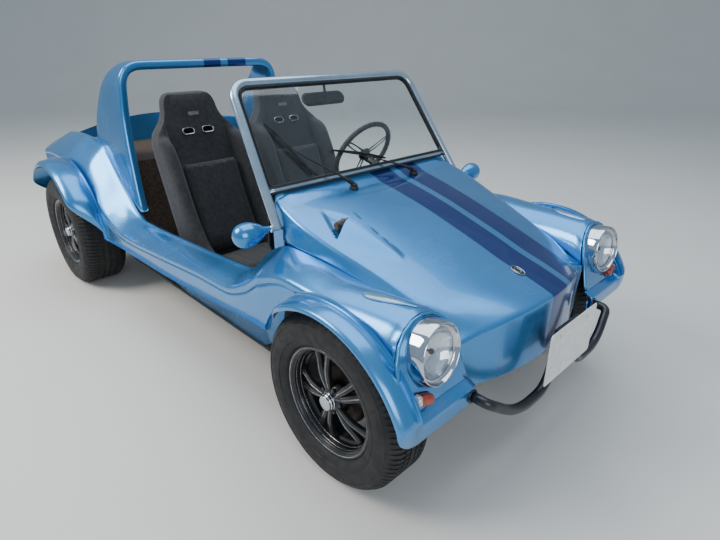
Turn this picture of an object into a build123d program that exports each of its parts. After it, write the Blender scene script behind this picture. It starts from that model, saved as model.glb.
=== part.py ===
"""Open two-seat dune buggy: a moulded glass-fibre body on a rear-engined floorpan.

Millimetres. X runs to the vehicle's left, Y to its rear, Z up. The origin is on the ground,
midway along and across the vehicle. Stations in the tables are distances behind an axle.
"""
import os
from math import asin, cos, degrees, radians, sin, sqrt, tan

from build123d import *

os.makedirs("parts", exist_ok=True)

# Overall layout
wheelbase = 2400
front_overhang = 500
rear_overhang = 600
front_axle_y = front_overhang - (front_overhang + wheelbase + rear_overhang) / 2
rear_axle_y = front_axle_y + wheelbase

# Wheels and tyres
front_tyre_radius, front_tyre_width, front_wheel_x = 325, 205, 625
rear_tyre_radius, rear_tyre_width, rear_wheel_x = 341, 255, 690
front_rim_width, rear_rim_width = 165, 215
bead_radius = 190
flange_radius = 204
tyre_sides = 48
spoke_pairs = 5
spoke_width, spoke_depth, spoke_gap = 16, 22, 14
hub_radius, hub_depth = 52, 50
cap_radius, cap_depth = 30, 28
drum_radius, drum_width = 112, 50
spindle_radius = 16
running_gap = 0.4

# Body mouldings
wall = 6
seam_gap = 0.3
flare_wall = 6
flare_rise = 22

# Front fender, lamp face and lip, measured from the front axle
front_arch_y, front_arch_radius = -40, 368
front_flare_x = 775
arch_cut_x = 689
face_y, face_z, face_lean = -315, 624, 17
lamp_x, lamp_stand, lamp_tilt, lamp_toe = 571, 22, 7, 4
lamp_hole_radius, bezel_radius, bezel_depth, bowl_depth = 84, 100, 28, 35
lens_rise, lens_recess = 14, 10
lip_y, lip_top, lip_bottom, lip_inner_x = -394, 462, 398, 421
signal_x, signal_z, signal_length, signal_height, signal_depth = 644, 508, 76, 38, 30

# Rear fender, measured from the rear axle
rear_arch_radius = 418
rear_flare_x = 850
tail_lamp_x, tail_lamp_z, tail_lamp_radius, tail_lamp_depth = 625, 660, 42, 30

# Front axle and steering, measured from the front axle
kingpin_x, kingpin_radius = 560, 14
ball_joint_height = 24
beam_y, beam_tube_radius, beam_half, beam_spread = -110, 24, 400, 62
arm_width, arm_height = 30, 34
steering_wheel_center = (330, 880, 895)
steering_wheel_radius, steering_rim_radius = 175, 13
column_angle, column_radius, column_length = 28, 19, 800

# Scoop on the right of the hood: tip, opening from its outer to its inner corner, and run-out behind
scoop_outer, scoop_inner = (-476, 190), (-330, 250)
scoop_reach, scoop_tip_across = 222, 67
scoop_run, scoop_end_across = 124, 133
scoop_rise, scoop_depth = 32, 18

# Windshield, measured from the front axle
screen_tube_radius = 18
screen_top = (504, 755, 1289)
screen_bottom = (541, 506, 924)
screen_foot = (560, 425, 800)
screen_corner = 75
glass_thickness = 6

# Cockpit
cockpit_half_width = 550
floor_z, floor_thickness = 200, 12
tunnel_width, tunnel_height = 150, 130
bulkhead_y = -430
deck_z, deck_end = 800, 270
seat_x, seat_foot_width, seat_width, headrest_width = 285, 400, 480, 250
seat_channel = 330
seat_gap = 0.4

# Roll hoop, measured from the rear axle
hoop_top_z, hoop_tube = 1345, 48
hoop_foot_x, hoop_foot_z, hoop_crown_x = 560, 560, 500

# Bumpers and plate
bumper_tube_radius = 17
plate_width, plate_height, plate_thickness, plate_z = 340, 200, 3, 475

# Towing eye on the front axle beam
tow_hole_radius, tow_lug_width, tow_lug_z = 12, 12, 263

# Engine and drive, measured from the rear axle
torsion_radius, torsion_z, torsion_half = 48, 290, 490
rear_bar_x, rear_bar_z = 430, 455
bell_radius, bell_y = 165, 130
case_width, case_length, case_height = 230, 330, 250
cylinder_radius, cylinder_reach, fin_count = 62, 150, 6
engine_z = 360
exhaust_radius = 50


def at_front(y):
    """Upright cross plane at a distance behind the front axle."""
    return Plane.XZ.offset(-(front_axle_y + y))


def at_rear(y):
    """Upright cross plane at a distance behind the rear axle."""
    return Plane.XZ.offset(-(rear_axle_y + y))


def save(piece, name):
    """Name a finished sub-part and write it as STEP."""
    piece.part.label = name
    export_step(piece.part, f"parts/{name}.step")


def save_pair(left, name):
    """Write a left-hand sub-part and its mirror image."""
    save(left, f"{name}_left")
    with BuildPart() as right:
        mirror(left.part, about=Plane.YZ)
    save(right, f"{name}_right")


def tube(points, bend, radius):
    """Round tube along straight runs joined by bends."""
    with BuildPart() as piece:
        with BuildLine() as path:
            FilletPolyline(*points, radius=bend)
        with BuildSketch(Plane(origin=path.wire() @ 0, z_dir=path.wire() % 0)):
            Circle(radius)
        sweep(path=path.wire())
    return piece.part


# Plane of the lamp face: it leans back, and its local Y runs up the face
face_plane = Plane(origin=(0, front_axle_y + face_y, face_z), x_dir=(1, 0, 0),
                   z_dir=(0, -cos(radians(face_lean)), sin(radians(face_lean))))

# Side mouldings. Columns: station, inner edge x and z, crown x and z, crease x and z,
# lowest z of the inner flange and of the outer wall. The first row lies in the lamp face.
fender_rows = [
    (face_y, 440, 590, 570, 728, 696, 525, 565, 400),
    (-250, 452, 622, 573, 737, 700, 622, 612, 400),
    (-100, 482, 668, 588, 735, 700, 678, 658, 400),
    (20, 500, 694, 600, 737, 700, 702, 684, 400),
    (200, 527, 730, 615, 745, 700, 715, 715, 440),
    (360, 552, 752, 626, 728, 700, 665, 640, 480),
]
pod_low = floor_z + floor_thickness
pod_rows = [
    (464, 550, 708, 625, 668, 700, 600, 330, 470),
    (621, 550, 580, 625, 570, 700, 542, pod_low, 455),
    (821, 550, 562, 625, 558, 700, 538, pod_low, 440),
    (1254, 550, 538, 625, 528, 700, 500, pod_low, 412),
]
tail_rows = [
    (-720, 550, 524, 625, 510, 700, 472, 300, 402),
    (-500, 551, 655, 625, 590, 700, 520, 400, 370),
    (-330, 541, 790, 625, 720, 700, 618, 500, 380),
    (-195, 533, 890, 630, 805, 700, 695, 660, 400),
    (75, 548, 915, 640, 850, 700, 781, 710, 400),
    (330, 548, 900, 640, 845, 700, 795, 620, 400),
    (500, 548, 850, 630, 820, 696, 775, 650, 480),
]


def rod(start, end, radius):
    """Straight round rod from one point to another."""
    run = Vector(*end) - Vector(*start)
    with BuildPart() as piece:
        with BuildSketch(Plane(origin=start, z_dir=run)):
            Circle(radius)
        extrude(amount=run.length)
    return piece.part


def inset(path, depth):
    """Points of an open path moved square to it, to the right of its travel."""
    moved = []
    for i, point in enumerate(path):
        before = Vector(*path[max(i - 1, 0)])
        here = Vector(*point)
        after = Vector(*path[min(i + 1, len(path) - 1)])
        arrive = (here - before).normalized() if i else (after - here).normalized()
        leave = (after - here).normalized() if i < len(path) - 1 else arrive
        normal = Vector(arrive.Y + leave.Y, -arrive.X - leave.X).normalized()
        reach = depth / (normal.X * arrive.Y - normal.Y * arrive.X)
        moved.append((point[0] + normal.X * reach, point[1] + normal.Y * reach))
    return moved


def on_plane(plane, points):
    """Drop points given by x and height onto an upright or leaning cross plane."""
    return [(x, (z - plane.origin.Z) / plane.y_dir.Z) for x, z in points]


def skin_points(row):
    """Outer points of a side moulding: flange foot, inner edge, crown, crease, wall foot."""
    y, inner_x, inner_z, crown_x, crown_z, crease_x, crease_z, inner_low, outer_low = row
    return [(inner_x, inner_low), (inner_x, inner_z), (crown_x, crown_z), (crease_x, crease_z),
            (crease_x, outer_low)]


def side_section(plane, row):
    """Cross section of a side moulding: inner flange, arched top and outer wall."""
    skin = on_plane(plane, skin_points(row))
    lining = inset(skin, wall)
    with BuildSketch(plane) as section:
        with BuildLine():
            Line(skin[0], skin[1])
            ThreePointArc(*skin[1:4])
            Polyline(skin[3], skin[4], lining[4], lining[3])
            ThreePointArc(lining[3], lining[2], lining[1])
            Polyline(lining[1], lining[0], skin[0])
        make_face()
    return section.sketch


def end_plate(plane, row, low_x, low_z):
    """Face that closes the end of a side moulding, out to the middle of its wall."""
    middle = inset(on_plane(plane, skin_points(row)), wall / 2)
    low = on_plane(plane, [(low_x + wall / 2, low_z), (row[5] - wall / 2, low_z)])
    with BuildSketch(plane) as section:
        with BuildLine():
            Line(low[0], middle[1])
            ThreePointArc(*middle[1:4])
            Polyline(middle[3], low[1], low[0])
        make_face()
    return section.sketch


def flare_section(center_y, center_z, start, root_x, lip_x, lip_radius):
    """Section of a rolled wheel-arch flare on the radial plane where it starts.

    The start angle is in degrees above the forward direction.
    """
    radial = Plane(origin=(0, center_y, center_z), x_dir=(1, 0, 0),
                   z_dir=(0, -sin(radians(start)), -cos(radians(start))))
    crest = lip_radius + flare_rise
    with BuildSketch(radial) as section:
        with BuildLine():
            Polyline((root_x, crest - flare_wall), (root_x, crest), (lip_x - 25, crest),
                     (lip_x, crest - 12), (lip_x, lip_radius), (lip_x - flare_wall, lip_radius),
                     (lip_x - flare_wall, crest - 15), (lip_x - 28, crest - flare_wall), close=True)
        make_face()
    return section.sketch


# Front fenders
arch_axis = Axis((0, front_axle_y + front_arch_y, front_tyre_radius), (-1, 0, 0))
face_top_y = front_axle_y + face_y
lip_root_z = lip_top + 18
lip_root_y = face_top_y + (lip_root_z - face_z) * tan(radians(face_lean))
lip_front_y = front_axle_y + lip_y
lamp_plane = Plane(origin=(lamp_x, face_top_y - lamp_stand, face_z),
                   z_dir=(-sin(radians(lamp_toe)), -cos(radians(lamp_tilt)), sin(radians(lamp_tilt))))
with BuildPart() as front_fender_left:
    add(side_section(face_plane, fender_rows[0]))
    for row in fender_rows[1:]:
        add(side_section(at_front(row[0]), row))
    loft(ruled=True)
    extrude(end_plate(face_plane, fender_rows[0], lip_inner_x, lip_bottom), amount=wall,
            dir=-face_plane.z_dir)
    lip = [(lip_root_y, lip_root_z), (lip_front_y, lip_top), (lip_front_y, lip_bottom),
           (lip_front_y + 30, lip_bottom)]
    with BuildSketch(Plane.YZ.offset(lip_inner_x)):
        with BuildLine():
            Polyline(*lip, *reversed(inset(lip, -wall)), close=True)
        make_face()
    extrude(amount=front_flare_x - 20 - lip_inner_x)
    with Locations((arch_cut_x + 50, front_axle_y + front_arch_y, front_tyre_radius)):
        Cylinder(front_arch_radius + flare_rise / 2, 100, rotation=(0, 90, 0), mode=Mode.SUBTRACT)
    add(flare_section(front_axle_y + front_arch_y, front_tyre_radius, 20, arch_cut_x - 3,
                      front_flare_x, front_arch_radius))
    revolve(axis=arch_axis, revolution_arc=128)
    with BuildSketch(lamp_plane):
        Circle(bezel_radius - 2)
    extrude(amount=-2 * lamp_stand)
    with Locations(lamp_plane):
        Cylinder(lamp_hole_radius, 120, mode=Mode.SUBTRACT)

# Side pods between the wheels
with BuildPart() as side_pod_left:
    for row in [fender_rows[-1]] + pod_rows:
        add(side_section(at_front(row[0]), row))
    add(side_section(at_rear(tail_rows[0][0]), tail_rows[0]))
    loft(ruled=True)

# Rear fenders
rear_arch_axis = Axis((0, rear_axle_y, rear_tyre_radius), (-1, 0, 0))
with BuildPart() as rear_fender_left:
    for row in tail_rows:
        add(side_section(at_rear(row[0]), row))
    loft(ruled=True)
    extrude(end_plate(at_rear(tail_rows[-1][0]), tail_rows[-1], tail_rows[-1][1], tail_rows[-1][8]),
            amount=wall, dir=(0, -1, 0))
    with Locations((arch_cut_x + 50, rear_axle_y, rear_tyre_radius)):
        Cylinder(rear_arch_radius + flare_rise / 2, 100, rotation=(0, 90, 0), mode=Mode.SUBTRACT)
    add(flare_section(rear_axle_y, rear_tyre_radius, 32, arch_cut_x - 3, rear_flare_x,
                      rear_arch_radius))
    revolve(axis=rear_arch_axis, revolution_arc=112)

# Hood and nose. Columns: station, top edge x and z, centre z, seam x and z. The seam follows
# the inner edge of the fenders.
seam = {row[0]: (row[1] - seam_gap, row[2] - 6) for row in fender_rows[1:]}
hood_rows = [
    (-350, 338, 602, 628, 400, 560),
    (-250, 398, 645, 672, *seam[-250]),
    (-100, 444, 698, 729, *seam[-100]),
    (20, 471, 738, 769, *seam[20]),
    (200, 511, 795, 825, *seam[200]),
    (360, 528, 852, 864, *seam[360]),
    (480, 520, 894, 889, 524, 800),
]
nose_bow, nose_bottom = 60, 400
badge_y, badge_width, badge_length, badge_height = -262, 40, 62, 4


def crown_section(plane, edge_x, edge_z, crown_z, seam_x, seam_z, depth):
    """Cross section of the hood, the given depth under its surface."""
    with BuildSketch(plane) as section:
        with BuildLine():
            Line((depth - seam_x, seam_z), (depth - edge_x, edge_z - depth))
            ThreePointArc((depth - edge_x, edge_z - depth), (0, crown_z - depth),
                          (edge_x - depth, edge_z - depth))
            Polyline((edge_x - depth, edge_z - depth), (seam_x - depth, seam_z),
                     (depth - seam_x, seam_z))
        make_face()
    return section.sketch


def nose_outline(edge_x, nose_y, depth):
    """Plan of the bowed nose, the given depth behind its face."""
    with BuildLine() as outline:
        Line((-lip_inner_x + seam_gap + depth, nose_y + 30), (depth - edge_x, nose_y + depth))
        ThreePointArc((depth - edge_x, nose_y + depth), (0, nose_y - nose_bow + depth),
                      (edge_x - depth, nose_y + depth))
        Line((edge_x - depth, nose_y + depth), (lip_inner_x - seam_gap - depth, nose_y + 30))
        Line((lip_inner_x - seam_gap - depth, nose_y + 30), (-lip_inner_x + seam_gap + depth, nose_y + 30))
    return outline.line


# Wipers. Columns: hand, pivot x, then blade start and end across and up the glass
wiper_rows = [("right", -160, (-432, 267), (-312, 25)), ("left", 220, (-165, 110), (118, 28))]
pivot_y, pivot_z, pivot_radius = front_axle_y + 430, 884, 5


def hood_height(x, y):
    """Height of the hood's top surface at a distance behind the front axle."""
    ahead = max((row for row in hood_rows if row[0] <= y), key=lambda row: row[0])
    behind = min((row for row in hood_rows if row[0] > y), key=lambda row: row[0])
    share = (y - ahead[0]) / (behind[0] - ahead[0])
    heights = []
    for row in (ahead, behind):
        rise = row[3] - row[2]
        radius = (row[1] ** 2 + rise ** 2) / (2 * rise)
        heights.append(row[3] - radius + sqrt(radius ** 2 - x ** 2))
    return heights[0] + share * (heights[1] - heights[0])


# Upright plane of the scoop's opening: its normal runs forward, towards the tip
scoop_line = Vector(scoop_inner[0] - scoop_outer[0], scoop_inner[1] - scoop_outer[1], 0)
scoop_width = scoop_line.length
scoop_plane = Plane(origin=(scoop_outer[0], front_axle_y + scoop_outer[1], 0), x_dir=scoop_line,
                    z_dir=Vector(scoop_line.Y, -scoop_line.X, 0))


def scoop_form(*sections):
    """Form on the hood from two cross sections: a distance ahead of the opening, then points by
    distance across it and height over the hood."""
    with BuildPart() as form:
        for ahead, points in sections:
            with BuildSketch(scoop_plane.offset(ahead)):
                outline = []
                for across, height in points:
                    at = scoop_plane.from_local_coords((across, 0, ahead))
                    outline.append((across, height + hood_height(at.X, at.Y - front_axle_y)))
                with BuildLine():
                    Polyline(*outline, close=True)
                make_face()
        loft(ruled=True)
    return form.part


scoop_cover = scoop_form(
    (0, [(0, -3), (scoop_width, -3), (scoop_width, scoop_rise), (0.55 * scoop_width, 0.85 * scoop_rise), (0, 1)]),
    (scoop_reach, [(scoop_tip_across - 30, -3), (scoop_tip_across, -3), (scoop_tip_across, 2),
                   (scoop_tip_across - 14, 2), (scoop_tip_across - 30, 1)]))
scoop_mouth = scoop_form(
    (-1, [(0.3 * scoop_width, 1), (scoop_width - wall, 1), (scoop_width - wall, scoop_rise - wall),
          (0.55 * scoop_width, 0.85 * scoop_rise - wall)]),
    (scoop_reach / 2, [(0.4 * scoop_width, 1), (0.65 * scoop_width, 1), (0.65 * scoop_width, 7),
                       (0.5 * scoop_width, 5)]))
scoop_pan = scoop_form(
    (0, [(0.1 * scoop_width, -1), (scoop_width, -1), (scoop_width - 10, -scoop_depth - wall),
         (0.2 * scoop_width, -scoop_depth - wall)]),
    (-scoop_run, [(scoop_end_across - 8, -1), (scoop_end_across + 6, -1), (scoop_end_across + 4, -wall - 1),
                  (scoop_end_across - 4, -wall - 1)]))
scoop_pocket = scoop_form(
    (0, [(0.1 * scoop_width + wall, 4), (scoop_width - wall, 4), (scoop_width - 14, -scoop_depth),
         (0.2 * scoop_width + wall, -scoop_depth)]),
    (2 - scoop_run, [(scoop_end_across - 3, 2), (scoop_end_across + 3, 2), (scoop_end_across + 2, -0.5),
                     (scoop_end_across - 2, -0.5)]))
with BuildPart() as hood:
    for row in hood_rows:
        add(crown_section(at_front(row[0]), *row[1:], 0))
    loft(ruled=True)
    for row in hood_rows:
        add(crown_section(at_front(row[0]), *row[1:], wall))
    loft(ruled=True, mode=Mode.SUBTRACT)
    edge_x, edge_z = hood_rows[0][1:3]
    nose_y = front_axle_y + hood_rows[0][0]
    for depth, mode in ((0, Mode.ADD), (wall, Mode.SUBTRACT)):
        with BuildSketch(Plane.XY.offset(nose_bottom - depth)):
            add(nose_outline(edge_x, nose_y, depth))
            make_face()
        extrude(amount=edge_z - nose_bottom, mode=mode)
    with Locations([(row[1], pivot_y, pivot_z) for row in wiper_rows]):
        Cylinder(pivot_radius + seam_gap, 80, mode=Mode.SUBTRACT)
    add([scoop_cover, scoop_pan])
    add([scoop_mouth, scoop_pocket], mode=Mode.SUBTRACT)

# Rear deck with its bulkhead, and the tail panel over the engine
deck_front, deck_rear = rear_axle_y + bulkhead_y, rear_axle_y + deck_end
deck_path = [(deck_front, floor_z + floor_thickness + seam_gap), (deck_front, deck_z),
             (deck_rear, deck_z)]
deck_edge = [(row[1] - seam_gap, rear_axle_y + row[0]) for row in tail_rows[1:6]]
hoop_slope = (hoop_foot_x - hoop_crown_x) / (hoop_top_z - hoop_foot_z)
hoop_inner_x = hoop_foot_x - hoop_tube - hoop_slope * (deck_z - hoop_foot_z + hoop_tube)
with BuildPart() as rear_deck:
    with BuildSketch(Plane.YZ):
        with BuildLine():
            Polyline(*deck_path, *reversed(inset(deck_path, wall)), close=True)
        make_face()
    extrude(amount=cockpit_half_width + wall, both=True)
    with BuildSketch(Plane.XY):
        with BuildLine():
            Polyline(*deck_edge, *[(-x, y) for x, y in reversed(deck_edge)], close=True)
        make_face()
    extrude(amount=deck_z + 10, mode=Mode.INTERSECT)
    for hand in (-1, 1):
        with Locations((hand * (hoop_inner_x - seam_gap + 50), deck_front + 50, deck_z)):
            Box(100, 140, 500, mode=Mode.SUBTRACT)

# Tail panel. Columns: station, foot z, shoulder z, crown z
tail_half = 548 - seam_gap
tail_panel_rows = [(deck_end + seam_gap, deck_z - wall, 890, 975), (500, 560, 800, 850)]


def tail_section(y, foot, shoulder, crown, depth):
    """Arched cross section of the tail panel, the given depth inside its surface."""
    half = tail_half - depth
    with BuildSketch(at_rear(y)) as section:
        with BuildLine():
            Line((-half, foot - 2 * depth), (-half, shoulder - depth))
            ThreePointArc((-half, shoulder - depth), (0, crown - depth), (half, shoulder - depth))
            Polyline((half, shoulder - depth), (half, foot - 2 * depth), (-half, foot - 2 * depth))
        make_face()
    return section.sketch


with BuildPart() as tail_panel:
    for row in tail_panel_rows:
        add(tail_section(*row, 0))
    loft(ruled=True)
    for row, shift in zip(tail_panel_rows, (wall, -wall)):
        add(tail_section(row[0] + shift, *row[1:], wall))
    loft(ruled=True, mode=Mode.SUBTRACT)

# Moulded roll hoop over the seats: the front view cut by the side view. Its foot follows the
# inner edge of the rear fenders.
hoop_side = [(-600, 700), (-520, hoop_top_z - 245), (-530, hoop_top_z), (-410, hoop_top_z),
             (-370, hoop_top_z - 35), (-210, hoop_top_z - 175), (-120, hoop_top_z - 305), (-90, 962)]
hoop_seam = [(y, z + seam_gap) for y, z in [(-85, 900.5), (-195, 890), (-330, 790), (-500, 655),
                                            (-640, 572)]]
with BuildPart() as roll_hoop:
    with BuildSketch(at_rear(-360)):
        for depth, mode in ((0, Mode.ADD), (hoop_tube, Mode.SUBTRACT)):
            foot_x, crown_x, top = hoop_foot_x - depth, hoop_crown_x - depth, hoop_top_z - depth
            with BuildLine():
                FilletPolyline((-foot_x, hoop_foot_z - depth), (-crown_x, top), (crown_x, top),
                               (foot_x, hoop_foot_z - depth), radius=120 - depth)
                Line((foot_x, hoop_foot_z - depth), (-foot_x, hoop_foot_z - depth))
            make_face(mode=mode)
    extrude(amount=400, both=True)
    with BuildSketch(Plane.YZ):
        with BuildLine():
            Polyline(*[(rear_axle_y + y, z) for y, z in hoop_side + hoop_seam], close=True)
        make_face()
    extrude(amount=hoop_foot_x + 50, both=True, mode=Mode.INTERSECT)

# Windshield on its raked plane
screen_rake = Vector(0, screen_top[1] - screen_bottom[1], screen_top[2] - screen_bottom[2])
screen_height = screen_rake.length
screen_rake = screen_rake.normalized()
screen_plane = Plane(origin=(0, front_axle_y + screen_bottom[1], screen_bottom[2]), x_dir=(1, 0, 0),
                     z_dir=Vector(1, 0, 0).cross(screen_rake))
foot_drop = (screen_foot[2] - screen_bottom[2]) / screen_rake.Z
with BuildPart() as windshield_frame:
    with BuildLine(screen_plane) as frame_path:
        FilletPolyline((-screen_foot[0], foot_drop), (-screen_top[0], screen_height),
                       (screen_top[0], screen_height), (screen_foot[0], foot_drop),
                       radius=screen_corner)
    with BuildSketch(Plane(origin=frame_path.wire() @ 0, z_dir=frame_path.wire() % 0)):
        Circle(screen_tube_radius)
    sweep(path=frame_path.wire())
    with BuildSketch(screen_plane):
        Rectangle(2 * screen_bottom[0], 20)
    extrude(amount=8, both=True)
    for hand in (-1, 1):
        with Locations((hand * (cockpit_half_width - seam_gap - wall / 2), front_axle_y + 435, 745)):
            Box(wall, 60, 110)
glass_inset = screen_tube_radius + seam_gap
with BuildPart() as windshield_glass:
    with BuildSketch(screen_plane):
        with BuildLine():
            FilletPolyline((-screen_bottom[0] + glass_inset, 10 + seam_gap),
                           (-screen_top[0] + glass_inset, screen_height - glass_inset),
                           (screen_top[0] - glass_inset, screen_height - glass_inset),
                           (screen_bottom[0] - glass_inset, 10 + seam_gap),
                           radius=screen_corner - glass_inset)
            Line((screen_bottom[0] - glass_inset, 10 + seam_gap),
                 (-screen_bottom[0] + glass_inset, 10 + seam_gap))
        make_face()
    extrude(amount=glass_thickness / 2, both=True)
mirror_at = screen_plane * Location((-40, screen_height - screen_tube_radius - 52, -45))
with BuildPart() as interior_mirror:
    with Locations(mirror_at):
        Box(240, 62, 14)
        with Locations((0, 30, 18)):
            Cylinder(6, 34)
    with Locations(screen_plane * Location((-40, screen_height - screen_tube_radius - 22,
                                            -glass_thickness / 2 - seam_gap - 18))):
        Box(24, 44, 36)
def wiper(hand, pivot_x, blade_start, blade_end):
    """Wiper: a post on the hood, an arm and a blade that lies along the glass."""
    lift = glass_thickness / 2 + 9
    ends = [screen_plane.from_local_coords((*end, lift)) for end in (blade_start, blade_end)]
    knee = Vector(pivot_x, pivot_y, pivot_z + 26)
    with BuildPart() as piece:
        with Locations((pivot_x, pivot_y, pivot_z + 13)):
            Cylinder(13, 26)
        with Locations((pivot_x, pivot_y, pivot_z - 13)):
            Cylinder(pivot_radius, 26)
        add(rod(knee, (ends[0] + ends[1]) / 2, 5))
        add(rod(ends[0], ends[1], 5))
    save(piece, f"wiper_{hand}")


for row in wiper_rows:
    wiper(*row)

# Steering axis, and the dashboard under the rear edge of the hood
turn = radians(column_angle)
column_dir = Vector(0, cos(turn), sin(turn))
wheel_origin = Vector(steering_wheel_center[0], front_axle_y + steering_wheel_center[1],
                      steering_wheel_center[2])
wheel_plane = Plane(origin=wheel_origin, x_dir=(1, 0, 0), z_dir=column_dir)
dash_path = [(front_axle_y + 470, 878), (front_axle_y + 545, 862), (front_axle_y + 560, 690),
             (front_axle_y + 530, 650)]
dash_half = 515
with BuildPart() as dashboard:
    with BuildSketch(Plane.YZ):
        with BuildLine():
            Polyline(*dash_path, *reversed(inset(dash_path, wall)), close=True)
        make_face()
    extrude(amount=dash_half, both=True)
    for gauge_x in (270, 390):
        with Locations(Plane(origin=(gauge_x, front_axle_y + 552, 790), z_dir=(0, 1, 0))):
            Cylinder(48, 30)
    with BuildSketch(wheel_plane):
        Circle(column_radius + seam_gap)
    extrude(amount=-column_length, mode=Mode.SUBTRACT)

# Floorpan with its central tunnel
floor_half = cockpit_half_width + wall
tunnel_start, tunnel_end = front_axle_y + 150, rear_axle_y + bulkhead_y - seam_gap
with BuildPart() as floor_pan:
    with BuildSketch(Plane.XY.offset(floor_z)):
        with BuildLine():
            Polyline((-250, tunnel_start), (250, tunnel_start), (floor_half, front_axle_y + 520),
                     (floor_half, rear_axle_y - 380), (-floor_half, rear_axle_y - 380),
                     (-floor_half, front_axle_y + 520), close=True)
        make_face()
    extrude(amount=floor_thickness)
    with BuildSketch(Plane.XY.offset(floor_z + floor_thickness)):
        with Locations((0, (tunnel_start + tunnel_end) / 2)):
            Rectangle(tunnel_width, tunnel_end - tunnel_start)
    extrude(amount=tunnel_height)

# Seats, in side view: stations from the front axle and heights
seat_shell_side = [(840, 290), (830, 400), (870, 470), (1130, 480), (1230, 620), (1400, 1000),
                   (1500, 1160), (1550, 1195), (1630, 1190), (1640, 1140), (1330, 270), (1290, 245)]
seat_channel_side = [(780, 395), (1190, 350), (1260, 395), (1545, 1150), (1545, 1300), (780, 1300)]
cushion_side = [(850, 395), (1185, 352), (1205, 400), (1180, 425), (880, 450), (850, 430)]
squab_side = [(1258, 405), (1436, 870), (1400, 880), (1235, 500), (1225, 430)]


def side_profile(points, inboard, width):
    """Extrude a side view across the seat."""
    with BuildPart() as piece:
        with BuildSketch(Plane.YZ.offset(seat_x - width / 2)):
            with BuildLine():
                Polyline(*[(front_axle_y + y, z) for y, z in points], close=True)
            make_face()
        extrude(amount=width)
    return piece.part


seat_outline = [(seat_x - seat_foot_width / 2, 230), (seat_x - seat_foot_width / 2, 360),
                (seat_x - seat_width / 2, 560), (seat_x - seat_width / 2, 1000),
                (seat_x - headrest_width / 2, 1080), (seat_x - headrest_width / 2 + 20, 1210)]
with BuildPart() as seat_shell_left:
    add(side_profile(seat_shell_side, seat_x, seat_width))
    add(side_profile(seat_channel_side, seat_x, seat_channel), mode=Mode.SUBTRACT)
    with BuildSketch(at_front(1240)):
        with BuildLine():
            Polyline(*seat_outline, *[(2 * seat_x - x, z) for x, z in reversed(seat_outline)],
                     close=True)
        make_face()
    extrude(amount=500, both=True, mode=Mode.INTERSECT)
    for slot_x in (-55, 55):
        with Locations((seat_x + slot_x, front_axle_y + 1480, 1015)):
            Box(52, 300, 22, mode=Mode.SUBTRACT)
    with Locations((seat_x, front_axle_y + 1060, (floor_z + floor_thickness + 290) / 2)):
        Box(seat_foot_width - 80, 320, 290 - floor_z - floor_thickness)
with BuildPart() as seat_cushion_left:
    add(side_profile(cushion_side, seat_x, seat_channel - 2 * seat_gap))
with BuildPart() as seat_squab_left:
    add(side_profile(squab_side, seat_x, seat_channel - 2 * seat_gap))

# Hand levers on the tunnel
lever_foot = floor_z + floor_thickness + tunnel_height
with BuildPart() as hand_levers:
    with Locations((0, front_axle_y + 930, lever_foot + 130)):
        Cylinder(7, 260)
    with Locations((0, front_axle_y + 930, lever_foot + 270)):
        Sphere(24)
    with Locations((0, front_axle_y + 930, lever_foot + 8)):
        Cylinder(40, 16)
    with Locations((0, front_axle_y + 1160, lever_foot + 12)):
        Box(36, 120, 24)
    with Locations(Location((0, front_axle_y + 1060, lever_foot + 58), (-20, 0, 0))):
        Box(22, 260, 22)

# Steering column and wheel
with BuildPart() as steering_column:
    with BuildSketch(wheel_plane.offset(-60)):
        Circle(column_radius)
    extrude(amount=-column_length)
with BuildPart() as steering_wheel:
    with BuildSketch(Plane(origin=wheel_origin, x_dir=(1, 0, 0), z_dir=wheel_plane.y_dir * -1)):
        with Locations((steering_wheel_radius, 0)):
            Circle(steering_rim_radius)
    revolve(axis=Axis(wheel_origin, column_dir))
    with BuildSketch(wheel_plane.offset(-60 + running_gap)):
        Circle(30)
    extrude(amount=50)
    with BuildSketch(wheel_plane.offset(-14)):
        with PolarLocations(0, 3, start_angle=90):
            with Locations((steering_wheel_radius / 2, 0)):
                Rectangle(steering_wheel_radius, 26)
    extrude(amount=5)

# Lamps: chrome bezel and lens on the lamp face
with BuildPart() as headlamp_bezel_left:
    with BuildSketch(lamp_plane):
        Circle(bezel_radius)
        Circle(lamp_hole_radius, mode=Mode.SUBTRACT)
    extrude(amount=bezel_depth)
    fillet(headlamp_bezel_left.edges().group_by(Axis(lamp_plane.origin, lamp_plane.z_dir))[-1], 5)
lens_radius = lamp_hole_radius - seam_gap
lens_sphere = (lens_radius ** 2 + lens_rise ** 2) / (2 * lens_rise)
lens_sweep = degrees(asin(lens_radius / lens_sphere))
lens_edge = bezel_depth - lens_recess
with BuildPart() as headlamp_left:
    with BuildSketch(Plane(origin=lamp_plane.origin, x_dir=lamp_plane.x_dir, z_dir=-lamp_plane.y_dir)):
        with BuildLine():
            CenterArc((0, lens_edge + lens_rise - lens_sphere), lens_sphere, 90 - lens_sweep, lens_sweep)
            Polyline((0, lens_edge + lens_rise), (0, -bowl_depth), (50, -bowl_depth), (lens_radius, 0),
                     (lens_radius, lens_edge))
        make_face()
    revolve(axis=Axis(lamp_plane.origin, lamp_plane.z_dir))
signal_plane = face_plane * Location((signal_x, (signal_z - face_z) / cos(radians(face_lean)), seam_gap))
with BuildPart() as turn_signal_left:
    with BuildSketch(signal_plane):
        SlotOverall(signal_length, signal_height)
    extrude(amount=signal_depth)
    fillet(turn_signal_left.edges().group_by(Axis(signal_plane.position, face_plane.z_dir))[-1], 10)
with BuildPart() as tail_lamp_left:
    with BuildSketch(at_rear(tail_rows[-1][0] + seam_gap)):
        with Locations((tail_lamp_x, tail_lamp_z)):
            Circle(tail_lamp_radius)
    extrude(amount=-tail_lamp_depth)

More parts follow.
